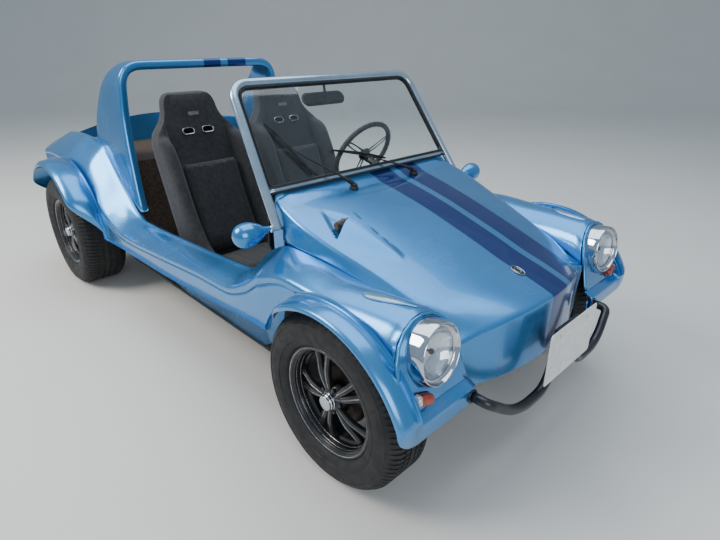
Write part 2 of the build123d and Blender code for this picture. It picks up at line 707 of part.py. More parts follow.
# Side mirrors on the windshield feet: a teardrop shell on a stalk, cut flat behind for the glass
mirror_y, mirror_z, mirror_x, mirror_radius, mirror_glass_y = 433, 808, 695, 46, 16
stalk_x = screen_foot[0] + screen_tube_radius - 0.4
with BuildPart() as side_mirror_left:
    with BuildSketch(Plane((0, front_axle_y + mirror_y, mirror_z))):
        with BuildLine():
            Polyline((mirror_x + mirror_radius, 0), (stalk_x, 0), (stalk_x, 7), (mirror_x - 78, 10))
            ThreePointArc((mirror_x - 78, 10), (mirror_x - 42, 35), (mirror_x, mirror_radius))
            CenterArc((mirror_x, 0), mirror_radius, 0, 90)
        make_face()
    revolve(axis=Axis((0, front_axle_y + mirror_y, mirror_z), (1, 0, 0)))
    with Locations((mirror_x, front_axle_y + mirror_y + mirror_glass_y + 50, mirror_z)):
        Box(130, 100, 200, mode=Mode.SUBTRACT)

# Badge and number plate
nose_rise = (hood_rows[1][3] - hood_rows[0][3]) / (hood_rows[1][0] - hood_rows[0][0])
badge_z = hood_rows[1][3] + nose_rise * (badge_y - hood_rows[1][0]) + seam_gap
with BuildPart() as hood_badge:
    with BuildSketch(Plane(origin=(0, front_axle_y + badge_y, badge_z), x_dir=(1, 0, 0),
                           z_dir=(0, -nose_rise, 1))):
        Ellipse(badge_width / 2, badge_length / 2)
    extrude(amount=badge_height)
plate_y = front_axle_y - front_overhang
with BuildPart() as number_plate:
    with BuildSketch(Plane.XZ.offset(-plate_y)):
        with Locations((0, plate_z)):
            RectangleRounded(plate_width, plate_height, 12)
    extrude(amount=-plate_thickness)
bar_y = plate_y + plate_thickness + seam_gap + bumper_tube_radius
half_bar = [(440, lip_front_y - seam_gap, 430), (440, lip_front_y - 58, 430), (300, bar_y, 335),
            (100, bar_y, 335), (70, bar_y, 540)]
front_bar = half_bar + [(-x, y, z) for x, y, z in reversed(half_bar)]
with BuildPart() as front_bumper:
    add(tube(front_bar, 26, bumper_tube_radius))
rear_end = rear_axle_y + rear_overhang
torsion_y = rear_axle_y + bulkhead_y + wall + torsion_radius + seam_gap
bar_bend = Vector(-rear_bar_x, rear_axle_y + 40, rear_bar_z)
bar_run = bar_bend - Vector(-rear_bar_x, torsion_y, torsion_z)
bar_foot = bar_bend - bar_run * (1 - (torsion_radius + seam_gap) / bar_run.length)
half_rear_bar = [tuple(bar_foot), tuple(bar_bend), (-rear_bar_x, rear_end - bumper_tube_radius, rear_bar_z)]
with BuildPart() as rear_bumper:
    add(tube(half_rear_bar + [(-x, y, z) for x, y, z in reversed(half_rear_bar)], 60,
             bumper_tube_radius))

# Front axle beam with trailing arms and ball-joint eyes
hub_z = front_tyre_radius
with BuildPart() as front_axle_beam:
    for level in (-beam_spread, beam_spread):
        with Locations((0, front_axle_y + beam_y, hub_z + level)):
            Cylinder(beam_tube_radius, 2 * beam_half, rotation=(0, 90, 0))
        for hand in (-1, 1):
            with Locations((hand * (beam_half + arm_width / 2), front_axle_y + beam_y / 2, hub_z + level)):
                Box(arm_width, -beam_y + arm_height, arm_height)
            with Locations((hand * (beam_half + kingpin_x) / 2, front_axle_y, hub_z + level * 1.13)):
                Box(kingpin_x - beam_half, 30, ball_joint_height)
            with Locations((hand * kingpin_x, front_axle_y, hub_z + level * 1.13)):
                Cylinder(20, ball_joint_height)
    for hand in (-1, 1):
        with Locations((hand * (beam_half - 40), front_axle_y + beam_y, hub_z + 70)):
            Box(60, 60, 330)
    with Locations((0, front_axle_y + (beam_y + 150) / 2, hub_z - beam_spread)):
        Box(160, 150 - beam_y - 2 * seam_gap, 60)
    with Locations((0, front_axle_y + beam_y - 40, tow_lug_z)):
        Box(tow_lug_width, 80, 44)
    with Locations((0, front_axle_y + beam_y - 56, tow_lug_z)):
        Cylinder(tow_hole_radius, 40, rotation=(0, 90, 0), mode=Mode.SUBTRACT)

# Steering knuckles: kingpin post and spindle
with BuildPart() as knuckle_left:
    post_half = beam_spread * 1.13 - ball_joint_height / 2 - running_gap
    with Locations((kingpin_x, front_axle_y, hub_z)):
        Cylinder(kingpin_radius, 2 * post_half)
        Box(40, 44, 60)
    with Locations((kingpin_x + 38, front_axle_y, hub_z)):
        Cylinder(spindle_radius, 76, rotation=(0, 90, 0))
    with Locations((kingpin_x - 30, front_axle_y + 70, hub_z + 10)):
        Box(20, 130, 16)

# Rear torsion housing, spring plates and transaxle
axle_z = rear_tyre_radius
rear_drum_x = rear_wheel_x + rear_rim_width / 2 - hub_depth - 22 - drum_width
with BuildPart() as rear_suspension:
    with Locations((0, torsion_y, torsion_z)):
        Cylinder(torsion_radius, 2 * torsion_half, rotation=(0, 90, 0))
    for hand in (-1, 1):
        with BuildSketch(Plane.YZ.offset(hand * (torsion_half - 5))):
            with BuildLine():
                Polyline((torsion_y - 20, torsion_z - 40), (torsion_y + 20, torsion_z + 40),
                         (rear_axle_y, axle_z + 45), (rear_axle_y + 20, axle_z - 45), close=True)
            make_face()
        extrude(amount=hand * 14)
        with BuildSketch(Plane.YZ.offset(hand * (torsion_half - 5))):
            with Locations((rear_axle_y, axle_z)):
                Circle(50)
        extrude(amount=hand * (rear_drum_x - seam_gap - torsion_half + 5))
        with BuildSketch(Plane.YZ.offset(hand * (rear_drum_x - 10))):
            with Locations((rear_axle_y, axle_z)):
                Circle(spindle_radius)
        extrude(amount=hand * drum_width)
with BuildPart() as transaxle:
    with BuildSketch(Plane.XZ.offset(-(rear_axle_y + bell_y))):
        with Locations((0, axle_z + 10)):
            Circle(bell_radius)
    with BuildSketch(Plane.XZ.offset(-(rear_axle_y - 40))):
        with Locations((0, axle_z)):
            Circle(105)
    with BuildSketch(Plane.XZ.offset(-(torsion_y + torsion_radius + seam_gap))):
        with Locations((0, axle_z - 10)):
            Circle(80)
    loft(ruled=True)
    with Locations((0, rear_axle_y, axle_z)):
        Cylinder(36, 2 * (torsion_half - 5 - seam_gap), rotation=(0, 90, 0))

# Open flat-four engine: case, finned cylinders, fan shroud
head_x = case_width / 2 + cylinder_reach + 28
with BuildPart() as engine:
    engine_y = rear_axle_y + bell_y + seam_gap
    with Locations((0, engine_y + case_length / 2, engine_z)):
        Box(case_width, case_length, case_height)
    for hand in (-1, 1):
        for y in (95, 215):
            with Locations((hand * (case_width / 2 + cylinder_reach / 2), engine_y + y, engine_z)):
                Cylinder(cylinder_radius, cylinder_reach, rotation=(0, 90, 0))
            for fin in range(fin_count):
                fin_x = case_width / 2 + 12 + fin * (cylinder_reach - 24) / (fin_count - 1)
                with Locations((hand * fin_x, engine_y + y, engine_z)):
                    Box(5, 116, 150)
        with Locations((hand * head_x, engine_y + 155, engine_z - 10)):
            Box(56, 270, 120)
with BuildPart() as fan_shroud:
    with Locations((0, engine_y + 70, engine_z + case_height / 2 + 95 + seam_gap)):
        Box(430, 110, 190)
    with Locations((0, engine_y + 70, engine_z + case_height / 2 + 175)):
        Cylinder(150, 110, rotation=(90, 0, 0))
    with Locations((0, engine_y + 190, engine_z + case_height / 2 + 170)):
        Cylinder(52, 130, rotation=(90, 0, 0))
    with Locations((0, engine_y + 70, deck_z + 100)):
        Box(500, 300, 230, mode=Mode.SUBTRACT)
with BuildPart() as exhaust:
    muffler_y = engine_y + case_length + exhaust_radius + 20
    with Locations((0, muffler_y, 285)):
        Cylinder(exhaust_radius, 2 * (head_x + 22), rotation=(0, 90, 0))
    for hand in (-1, 1):
        add(tube([(hand * 90, muffler_y, 285), (hand * 90, muffler_y, 240),
                  (hand * 90, rear_end - 10, 240)], 16, 15))
        with BuildSketch(Plane.XZ.offset(-(engine_y + 290 + seam_gap))):
            with Locations((hand * head_x, 285)):
                Circle(20)
        extrude(amount=-(muffler_y - engine_y - 290))


def wheel(name, radius, width, rim_width, center_x, axle_y, side):
    """Tyre and spoked rim of one wheel, the outer face towards the given side."""
    spin = Axis((center_x * side, axle_y, radius), (1, 0, 0))
    half, rim_half = width / 2, rim_width / 2
    upright = Plane(origin=(center_x * side, axle_y, radius), x_dir=(side, 0, 0), z_dir=(0, -side, 0))
    outer = Plane(origin=((center_x + rim_half) * side, axle_y, radius), x_dir=(0, 1, 0), z_dir=(side, 0, 0))
    with BuildPart() as tyre:
        for x, reach in ((-half, radius - 64), (6 - half, radius - 24), (42 - half, radius),
                         (half - 42, radius), (half - 6, radius - 24), (half, radius - 64)):
            with BuildSketch(outer.offset(x - rim_half)):
                RegularPolygon(reach, tyre_sides)
        loft(ruled=True)
        for reach, start, end in ((bead_radius + seam_gap, -half, half),
                                  (flange_radius + 2, -half, 6 - rim_half),
                                  (flange_radius + 2, rim_half - 6, half)):
            with BuildSketch(outer.offset(start - rim_half)):
                RegularPolygon(reach, tyre_sides, major_radius=False)
            extrude(amount=end - start, mode=Mode.SUBTRACT)
    save(tyre, f"tyre_{name}")
    with BuildPart() as rim:
        with BuildSketch(upright):
            with BuildLine():
                Polyline((rim_half, flange_radius), (rim_half, flange_radius - 8),
                         (rim_half - 12, bead_radius - 8), (rim_half - 60, bead_radius - 22),
                         (-rim_half + 12, bead_radius - 8), (-rim_half, flange_radius - 8),
                         (-rim_half, flange_radius), (-rim_half + 4, flange_radius),
                         (-rim_half + 6, bead_radius), (-rim_half + 20, bead_radius),
                         (rim_half - 60, bead_radius - 14), (rim_half - 6, bead_radius),
                         (rim_half - 4, flange_radius), close=True)
            make_face()
        revolve(axis=spin)
        with BuildSketch(outer.offset(-hub_depth - 22)):
            Circle(hub_radius)
        extrude(amount=hub_depth)
        with BuildSketch(outer.offset(-22)):
            Circle(cap_radius)
        extrude(amount=cap_depth)
        with BuildSketch(outer.offset(-44)):
            with PolarLocations(0, spoke_pairs):
                with Locations((bead_radius / 2, spoke_gap), (bead_radius / 2, -spoke_gap)):
                    Rectangle(bead_radius - 16, spoke_width)
        extrude(amount=spoke_depth)
        with BuildSketch(outer.offset(-hub_depth - 22 - drum_width)):
            Circle(drum_radius)
        extrude(amount=drum_width)
        with Locations(outer.offset(-hub_depth - 22 - drum_width)):
            Cylinder(spindle_radius + running_gap, 110, mode=Mode.SUBTRACT)
    save(rim, f"wheel_{name}")


for side, hand in ((1, "left"), (-1, "right")):
    wheel(f"front_{hand}", front_tyre_radius, front_tyre_width, front_rim_width, front_wheel_x,
          front_axle_y, side)
    wheel(f"rear_{hand}", rear_tyre_radius, rear_tyre_width, rear_rim_width, rear_wheel_x,
          rear_axle_y, side)

for left, name in ((front_fender_left, "front_fender"), (side_pod_left, "side_pod"),
                   (rear_fender_left, "rear_fender"), (seat_shell_left, "seat_shell"),
                   (seat_cushion_left, "seat_cushion"), (seat_squab_left, "seat_squab"),
                   (headlamp_bezel_left, "headlamp_bezel"), (headlamp_left, "headlamp"),
                   (turn_signal_left, "turn_signal"), (tail_lamp_left, "tail_lamp"),
                   (side_mirror_left, "side_mirror"), (knuckle_left, "knuckle")):
    save_pair(left, name)

for piece, name in ((hood, "hood"), (rear_deck, "rear_deck"), (tail_panel, "tail_panel"),
                    (roll_hoop, "roll_hoop"), (windshield_frame, "windshield_frame"),
                    (windshield_glass, "windshield_glass"), (interior_mirror, "interior_mirror"),
                    (dashboard, "dashboard"), (floor_pan, "floor_pan"),
                    (hand_levers, "hand_levers"), (steering_column, "steering_column"),
                    (steering_wheel, "steering_wheel"), (hood_badge, "hood_badge"),
                    (number_plate, "number_plate"), (front_bumper, "front_bumper"),
                    (rear_bumper, "rear_bumper"), (front_axle_beam, "front_axle_beam"),
                    (rear_suspension, "rear_suspension"), (transaxle, "transaxle"),
                    (engine, "engine"), (fan_shroud, "fan_shroud"), (exhaust, "exhaust")):
    save(piece, name)
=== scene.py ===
from math import atan2, cos, hypot, pi, radians, sin, sqrt, tan

import bpy
import numpy as np
from mathutils import Matrix, Vector


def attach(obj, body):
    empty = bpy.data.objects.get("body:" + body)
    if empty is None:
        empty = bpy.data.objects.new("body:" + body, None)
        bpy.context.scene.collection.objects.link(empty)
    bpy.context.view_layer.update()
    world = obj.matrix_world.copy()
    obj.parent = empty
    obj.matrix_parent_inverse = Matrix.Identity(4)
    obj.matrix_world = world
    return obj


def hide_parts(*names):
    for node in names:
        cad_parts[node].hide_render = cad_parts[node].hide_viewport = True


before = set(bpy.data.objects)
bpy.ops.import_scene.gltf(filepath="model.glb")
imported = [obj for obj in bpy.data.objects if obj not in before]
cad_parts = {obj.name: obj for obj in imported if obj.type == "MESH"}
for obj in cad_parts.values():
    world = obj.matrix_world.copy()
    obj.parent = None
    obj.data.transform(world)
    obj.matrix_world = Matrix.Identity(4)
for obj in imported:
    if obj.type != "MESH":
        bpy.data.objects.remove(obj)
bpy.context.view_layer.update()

scene = bpy.context.scene
F, R = -1.25, 1.15  # front and rear axle, metres
X, Y = np.array([1.0, 0, 0]), (0, 1, 0)


# Geometry helpers

def norm(v):
    """Length of a vector."""
    return np.linalg.norm(v)


def unit(v):
    """The vector's direction, of length 1."""
    return np.asarray(v, float) / np.linalg.norm(v)


def smooth(xs, ys, x):
    """Smooth curve through a table, without overshoot."""
    xs, ys = np.asarray(xs, float), np.asarray(ys, float)
    if ys.ndim == 1:
        return smooth(xs, ys[:, None], x)[..., 0]
    h = np.diff(xs)[:, None]
    d = np.diff(ys, axis=0) / h
    m = np.zeros_like(ys)
    product = d[:-1] * d[1:]
    total = np.where(np.abs(d[:-1] + d[1:]) < 1e-12, 1, d[:-1] + d[1:])
    m[1:-1] = np.where(product > 0, 2 * product / total, 0)
    m[0], m[-1] = d[0], d[-1]
    x = np.clip(np.asarray(x, float), xs[0], xs[-1])
    k = np.clip(np.searchsorted(xs, x, side="right") - 1, 0, len(xs) - 2)
    t = ((x - xs[k]) / h[k, 0])[..., None]
    a, b, u, v = ys[k], ys[k + 1], m[k] * h[k], m[k + 1] * h[k]
    return (2*t**3 - 3*t**2 + 1) * a + (t**3 - 2*t**2 + t) * u + (3*t**2 - 2*t**3) * b + (t**3 - t**2) * v


def step(t, a=0.0, b=1.0):
    """Smooth step from 0 at a to 1 at b."""
    t = np.clip((np.asarray(t, float) - a) / (b - a), 0, 1)
    return t * t * (3 - 2 * t)


def arc(a, b, c, fractions):
    """Points at fractions of the circular arc from a through b to c, in a plane."""
    a, b, c = (np.asarray(p, float) for p in (a, b, c))
    m = np.array([b - a, c - a]) * 2
    center = np.linalg.solve(m, [b @ b - a @ a, c @ c - a @ a])
    angles = [atan2(*(p - center)[::-1]) for p in (a, b, c)]
    sweep = (angles[2] - angles[0]) % (2 * pi)
    if (angles[1] - angles[0]) % (2 * pi) > sweep:
        sweep -= 2 * pi
    at = angles[0] + sweep * np.asarray(fractions)
    return center + norm(a - center) * np.stack([np.cos(at), np.sin(at)], -1)


def bezier(a, b, c, n, ends=True):
    """n points from a to c, drawn towards b."""
    t = np.linspace(0, 1, n)[:, None] if ends else np.linspace(0, 1, n + 2)[1:-1, None]
    a, b, c = (np.asarray(v, float) for v in (a, b, c))
    return (1 - t)**2 * a + 2 * t * (1 - t) * b + t**2 * c


def blend(first, middle, last, n, ends=True):
    """Rows of points from the first row to the last, drawn towards the middle one."""
    return list(np.transpose([bezier(a, b, c, n, ends) for a, b, c in zip(first, middle, last)], (1, 0, 2)))


def rounded(points, radii, n=5):
    """Outline with its corners rounded; the ends stay."""
    points = np.asarray(points, float)
    out = []
    for i, (p, r) in enumerate(zip(points, radii)):
        if r == 0 or i in (0, len(points) - 1):
            out.append(p[None])
        else:
            u, v = points[i - 1] - p, points[i + 1] - p
            out.append(bezier(p + u / norm(u) * r, p, p + v / norm(v) * r, n))
    return np.concatenate(out)


def ring_frames(path, closed=False):
    """Directions square to a path, carried along it without twist."""
    along = np.roll(path, -1, 0) - np.roll(path, 1, 0) if closed else np.gradient(path, axis=0)
    along /= np.linalg.norm(along, axis=1)[:, None]
    side = np.cross(along[0], [0, 0, 1])
    if norm(side) < 0.1:
        side = np.cross(along[0], [0, 1, 0])
    sides = []
    for direction in along:
        side = unit(side - direction * (side @ direction))
        sides.append(side)
    return np.array(sides), np.cross(along, sides)


def basis(direction):
    """Two directions square to the given one."""
    w = unit(direction)
    u = np.cross([0, 0, 1], w)
    u = unit(u) if norm(u) > 1e-3 else X
    return u, np.cross(w, u), w


def turned(angle, u, v):
    """Direction at an angle from u towards v."""
    return cos(angle) * u + sin(angle) * v


def place(name, data):
    """Object made of a mesh, a light or a camera, put into the scene."""
    obj = bpy.data.objects.new(name, data)
    scene.collection.objects.link(obj)
    return obj


class Shape:
    """Collects grids, turned forms, tubes and blocks, and makes one object of them."""

    def __init__(self):
        self.verts, self.faces, self.slots = [], [], []

    def add(self, verts, faces, slot=0):
        base = len(self.verts)
        self.verts += [tuple(float(c) for c in v) for v in verts]
        self.faces += [tuple(base + i for i in f) for f in faces]
        self.slots += [slot] * len(faces)
        return self

    def grid(self, points, wrap_rows=False, wrap_cols=False, slot=0):
        points = np.asarray(points, float)
        m, n = points.shape[:2]
        faces = [(i * n + j, i * n + (j + 1) % n, (i + 1) % m * n + (j + 1) % n, (i + 1) % m * n + j)
                 for i in range(m if wrap_rows else m - 1) for j in range(n if wrap_cols else n - 1)]
        return self.add(points.reshape(-1, 3), faces, slot)

    def cap(self, ring, slot=0):
        ring = np.asarray(ring, float)
        n = len(ring)
        return self.add([*ring, ring.mean(0)], [(i, (i + 1) % n, n) for i in range(n)], slot)

    def lathe(self, profile, origin, direction, steps=64, slot=0, slots=None):
        """Turns (radius, height) points about an axis."""
        u, v, w = basis(direction)
        at = np.linspace(0, 2 * pi, steps, endpoint=False)
        spokes = np.outer(np.cos(at), u) + np.outer(np.sin(at), v)
        rows = [np.asarray(origin) + r * spokes + h * w for r, h in profile]
        if slots is None:
            return self.grid(rows, wrap_cols=True, slot=slot)
        for i, s in enumerate(slots):
            self.grid(rows[i:i + 2], wrap_cols=True, slot=s)
        return self

    def tube(self, path, radius, sides=12, closed=False, slot=0, flat=1.0):
        path = np.asarray(path, float)
        radius = np.broadcast_to(np.asarray(radius, float), len(path))
        u, v = ring_frames(path, closed)
        at = np.linspace(0, 2 * pi, sides, endpoint=False)
        rows = [p + r * (np.outer(np.cos(at), a) + flat * np.outer(np.sin(at), b))
                for p, r, a, b in zip(path, radius, u, v)]
        self.grid(rows, wrap_rows=closed, wrap_cols=True, slot=slot)
        return self if closed else self.cap(rows[0][::-1], slot).cap(rows[-1], slot)

    def block(self, center, size, axes=None, slot=0):
        """Box, its edges softened later by the object's bevel."""
        axes = np.eye(3) if axes is None else np.asarray(axes, float)
        corners = [np.asarray(center) + sum((s - 0.5) * size[k] * axes[k] for k, s in enumerate((x, y, z)))
                   for z in (0, 1) for x, y in ((0, 0), (1, 0), (1, 1), (0, 1))]
        faces = [(0, 3, 2, 1), (4, 5, 6, 7), (0, 1, 5, 4), (1, 2, 6, 5), (2, 3, 7, 6), (3, 0, 4, 7)]
        return self.add(corners, faces, slot)

    def mirrored(self):
        """The same shape for the other side."""
        other = Shape()
        other.verts = [(-x, y, z) for x, y, z in self.verts]
        other.faces, other.slots = [f[::-1] for f in self.faces], self.slots
        return other

    def make(self, name, materials, body="body", replaces=(), slot=None, bevel=0, thickness=0, merge=1e-4):
        mesh = bpy.data.meshes.new(name)
        mesh.from_pydata(self.verts, [], self.faces)
        for m in materials if isinstance(materials, (list, tuple)) else [materials]:
            mesh.materials.append(m)
        mesh.polygons.foreach_set("material_index", self.slots)
        mesh.polygons.foreach_set("use_smooth", [True] * len(self.faces))
        mesh.set_sharp_from_angle(angle=radians(38))
        obj = place(name, mesh)
        if merge:
            obj.modifiers.new("weld", "WELD").merge_threshold = merge
        if thickness:
            solid = obj.modifiers.new("wall", "SOLIDIFY")
            solid.thickness, solid.offset = thickness, -1
        if bevel:
            soft = obj.modifiers.new("bevel", "BEVEL")
            soft.width, soft.segments, soft.limit_method = bevel, 3, "ANGLE"
            soft.angle_limit = radians(35)
        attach(obj, body)
        if replaces:
            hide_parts(*([replaces] if isinstance(replaces, str) else replaces))
        return obj


HANDS = "left", "right"


def handed(shape, hand):
    """Shapes are drawn for the left; the right one is the mirror image."""
    return shape if hand == "left" else shape.mirrored()


# Materials

def rgb(r, g, b):
    """Linear colour from display values up to 255."""
    return tuple(c / 255 / 12.92 if c < 11 else ((c / 255 + 0.055) / 1.055)**2.4 for c in (r, g, b)) + (1.0,)


class Finish:
    """Procedural material built up from noise, patterns and masks in object space."""

    def __init__(self, name, metal=0.0, **sockets):
        self.mat = bpy.data.materials.new(name)
        self.mat.use_nodes = True
        self.nodes, self.links = self.mat.node_tree.nodes, self.mat.node_tree.links
        self.shader = self.nodes["Principled BSDF"]
        for key, value in dict(sockets, Metallic=metal).items():
            self.shader.inputs[key.replace("_", " ")].default_value = value
        self.coords = self.nodes.new("ShaderNodeTexCoord").outputs["Object"]

    def node(self, kind, inputs=None, **attributes):
        n = self.nodes.new("ShaderNode" + kind)
        for key, value in attributes.items():
            setattr(n, key, value)
        for key, value in (inputs or {}).items():
            if isinstance(value, bpy.types.NodeSocket):
                self.links.new(value, n.inputs[key])
            else:
                n.inputs[key].default_value = value
        return n

    def noise(self, scale, detail=4, low=0.35, high=0.65):
        fac = self.node("TexNoise", {"Vector": self.coords, "Scale": scale, "Detail": detail}).outputs[0]
        return self.spread(fac, low, high, 0, 1)

    def spread(self, fac, low, high, to_low, to_high):
        return self.node("MapRange", {0: fac, 1: low, 2: high, 3: to_low, 4: to_high}).outputs[0]

    def math(self, operation, a, b=0.0, c=0.0):
        return self.node("Math", {0: a, 1: b, 2: c}, operation=operation).outputs[0]

    def mix(self, fac, a, b):
        return self.node("Mix", {0: fac, 6: a, 7: b}, data_type="RGBA").outputs[2]

    def color(self, value):
        self.links.new(value, self.shader.inputs["Base Color"])
        return self

    def rough(self, fac, low, high):
        self.links.new(self.spread(fac, 0, 1, low, high), self.shader.inputs["Roughness"])
        return self

    def bump(self, height, strength=0.3, distance=0.001):
        n = self.node("Bump", {"Strength": strength, "Distance": distance, "Height": height})
        previous = self.shader.inputs["Normal"].links
        if previous:
            self.links.new(previous[0].from_socket, n.inputs["Normal"])
        self.links.new(n.outputs[0], self.shader.inputs["Normal"])
        return self

    def axis(self, which):
        return self.node("SeparateXYZ", {0: self.coords}).outputs[which]


def painted(name, stripes=()):
    """Metallic blue moulded body, with darker stripes across x where asked."""
    f = Finish(name, metal=0.7, Coat_Weight=0.55, Coat_Roughness=0.04, Coat_IOR=1.45)
    flakes = f.node("TexVoronoi", {"Vector": f.coords, "Scale": 900}).outputs["Distance"]
    body = f.mix(f.spread(flakes, 0.1, 0.7, 0, 1), rgb(72, 148, 208), rgb(52, 128, 192))
    body = f.mix(f.math("MULTIPLY", f.noise(3, 2), 0.2), body, rgb(90, 158, 206))
    if stripes:
        dark = f.mix(f.spread(flakes, 0.1, 0.7, 0, 1), rgb(2, 62, 140), rgb(0, 44, 112))
        x, mask = f.axis(0), None
        for low, high in stripes:
            inside = f.math("COMPARE", x, (low + high) / 2, (high - low) / 2)
            mask = inside if mask is None else f.math("ADD", mask, inside)
        body = f.mix(mask, body, dark)
    dust = f.math("MULTIPLY", f.noise(9, 8, low=0.45, high=0.8), f.spread(f.axis(2), 0.36, 0.56, 0.35, 0.02))
    f.color(f.mix(dust, body, rgb(168, 170, 158)))
    f.rough(f.noise(5, 3), 0.22, 0.28)
    return f.bump(f.noise(45, 2), 0.01, 0.0004).mat


def plain(name, a, b, rough, metal, scale, grain, bump, depth=0.0005, **sockets):
    """Two tones in soft patches, uneven gloss and a fine grain."""
    f = Finish(name, metal=metal, **sockets)
    f.color(f.mix(f.noise(scale, 6), rgb(*a), rgb(*b)))
    f.rough(f.noise(scale * 2.3, 6), *rough)
    return f.bump(f.noise(grain, 3), bump, depth).mat


def tinted(name, a, b, rough, through, coat=0.6, metal=0, scale=30, bump=0.1):
    """Tinted plastic lens, of which through is the share of light let through."""
    return plain(name, a, b, rough, metal, scale, 500, bump, 0.0006,
                 Transmission_Weight=through, IOR=1.49, Coat_Weight=coat)


def fabric(name, a, b, weave=150):
    """Woven cloth: crossing threads in three directions, so that it shows on any side."""
    f = Finish(name, Sheen_Weight=0.12, Sheen_Roughness=0.5)
    total = None
    for turn in ((0, 0, pi / 4), (pi / 4, 0, 0), (0, pi / 4, pi / 2)):
        vector = f.node("Mapping", {"Vector": f.coords, "Rotation": turn}).outputs[0]
        wave = f.node("TexWave", {"Vector": vector, "Scale": weave, "Distortion": 0.6}).outputs[1]
        total = wave if total is None else f.math("MAXIMUM", total, wave)
    tone = f.math("MULTIPLY_ADD", total, 0.5, f.math("MULTIPLY", f.noise(20, 8), 0.5))
    f.color(f.mix(tone, rgb(*a), rgb(*b)))
    f.rough(f.noise(60, 6), 0.75, 0.95)
    return f.bump(total, 0.5, 0.0006).bump(f.noise(35, 4), 0.15, 0.002).mat


paint = painted("body_paint")
paint_hood = painted("body_paint_hood_stripes", [(0.0, 0.125), (0.165, 0.295)])
paint_hoop = painted("body_paint_hoop_stripes", [(0.0, 0.11), (0.157, 0.284)])
chrome = plain("chrome_plate", (208, 213, 220), (190, 196, 204), (0.02, 0.07), 1.0, 40, 900, 0.02)
alloy = plain("machined_rim_edge", (196, 198, 200), (160, 163, 168), (0.16, 0.32), 1.0, 60, 700, 0.06)
silver = plain("satin_windshield_tube", (164, 186, 200), (150, 172, 188), (0.14, 0.22), 0.9, 9, 600, 0.03,
               Coat_Weight=0.4)
foot = Finish("windshield_tube_and_foot", metal=0.75, Coat_Weight=0.6)
foot.color(foot.mix(foot.math("LESS_THAN", foot.axis(2), 0.7985),  # body colour below this height
                    foot.mix(foot.noise(9), rgb(164, 186, 200), rgb(150, 172, 188)),
                    foot.mix(foot.noise(9), rgb(76, 146, 204), rgb(58, 128, 190))))
foot.rough(foot.noise(20, 6), 0.14, 0.22).bump(foot.noise(600, 3), 0.03, 0.0005)
rim_dark = plain("dark_rim_enamel", (26, 27, 30), (34, 35, 38), (0.3, 0.42), 0.5, 30, 600, 0.08,
                 Coat_Weight=0.4)
rim_edge = plain("polished_dark_rim", (158, 160, 164), (128, 130, 134), (0.22, 0.34), 1.0, 50, 700, 0.05)
rubber = plain("tyre_rubber", (17, 18, 20), (27, 27, 28), (0.6, 0.78), 0, 14, 450, 0.3, 0.0006)
seal = plain("black_rubber_seal", (12, 12, 13), (24, 24, 24), (0.45, 0.65), 0, 40, 600, 0.15)
black_tube = plain("black_tube_enamel", (24, 24, 28), (31, 31, 36), (0.32, 0.42), 0.2, 12, 500, 0.08,
                   Coat_Weight=0.3)
black_moulded = plain("moulded_black_plastic", (16, 16, 18), (27, 27, 29), (0.5, 0.7), 0, 30, 350, 0.4,
                      0.0006)
leather = plain("grained_black_leather", (15, 14, 14), (30, 28, 27), (0.42, 0.6), 0, 30, 260, 0.6, 0.0008)
# Rear deck: its brown tan is painted sunlight falling on the shelf, over a coarse grain and rough gloss.
deck_sunlit_tan = plain("deck_painted_sunlit_tan", (58, 46, 37), (84, 68, 54), (0.85, 1.0), 0, 60, 700, 0.9, 0.002)
floor_mat = plain("rubber_floor_mat", (22, 22, 22), (38, 37, 35), (0.7, 0.9), 0, 25, 300, 0.5, 0.001)
cloth = fabric("black_seat_cloth", (11, 11, 13), (28, 29, 32))
cloth_side = fabric("black_bolster_cloth", (14, 14, 16), (33, 34, 38), 210)
cast = plain("cast_alloy", (128, 127, 122), (92, 90, 84), (0.4, 0.68), 0.75, 22, 260, 0.6, 0.0012)
steel_dark = plain("oiled_axle_steel", (30, 30, 31), (66, 58, 50), (0.4, 0.75), 0.6, 18, 220, 0.5, 0.001)
exhaust_mat = plain("heat_stained_exhaust", (122, 104, 84), (66, 60, 58), (0.35, 0.6), 0.9, 10, 260, 0.4,
                    0.001)
shroud_mat = plain("shroud_black_enamel", (18, 19, 21), (38, 38, 40), (0.25, 0.45), 0.2, 20, 350, 0.2,
                   Coat_Weight=0.5)
plate_mat = plain("blank_plate", (226, 226, 220), (206, 207, 203), (0.22, 0.36), 0, 20, 900, 0.1,
                  Coat_Weight=0.5)
amber = tinted("amber_lens", (214, 74, 10), (168, 48, 6), (0.08, 0.18), 0.45)
red_lens = tinted("red_lens", (150, 10, 10), (110, 4, 6), (0.08, 0.18), 0.35)
frosted = tinted("clear_marker_lens", (222, 226, 230), (196, 202, 208), (0.08, 0.2), 0.2, coat=0.8, metal=0.3,
                 scale=60, bump=0.2)
marker_mat = tinted("tinted_marker_lens", (84, 138, 170), (62, 114, 150), (0.05, 0.14), 0.25, coat=0.8,
                    metal=0.2, scale=120, bump=0.15)
clear_lens = plain("clear_lens", (250, 252, 255), (235, 240, 244), (0.02, 0.05), 0, 30, 300, 0.05, 0.0006,
                   Transmission_Weight=1.0, IOR=1.45)
glass = plain("windshield_glass", (243, 250, 249), (238, 247, 246), (0.0, 0.02), 0, 12, 300, 0.01, 0.0002,
              Transmission_Weight=1.0, IOR=1.45)
mirror_mat = plain("mirror_silver", (225, 228, 232), (214, 218, 224), (0.01, 0.04), 1.0, 20, 500, 0.01)
dial_face = plain("dial_face", (10, 10, 11), (18, 18, 19), (0.4, 0.55), 0, 40, 500, 0.1)
dial_mark = plain("dial_markings", (224, 222, 210), (204, 204, 196), (0.5, 0.6), 0, 40, 500, 0.1)
badge_mat = plain("dark_badge_metal", (44, 48, 54), (74, 78, 84), (0.22, 0.4), 0.8, 60, 600, 0.2)

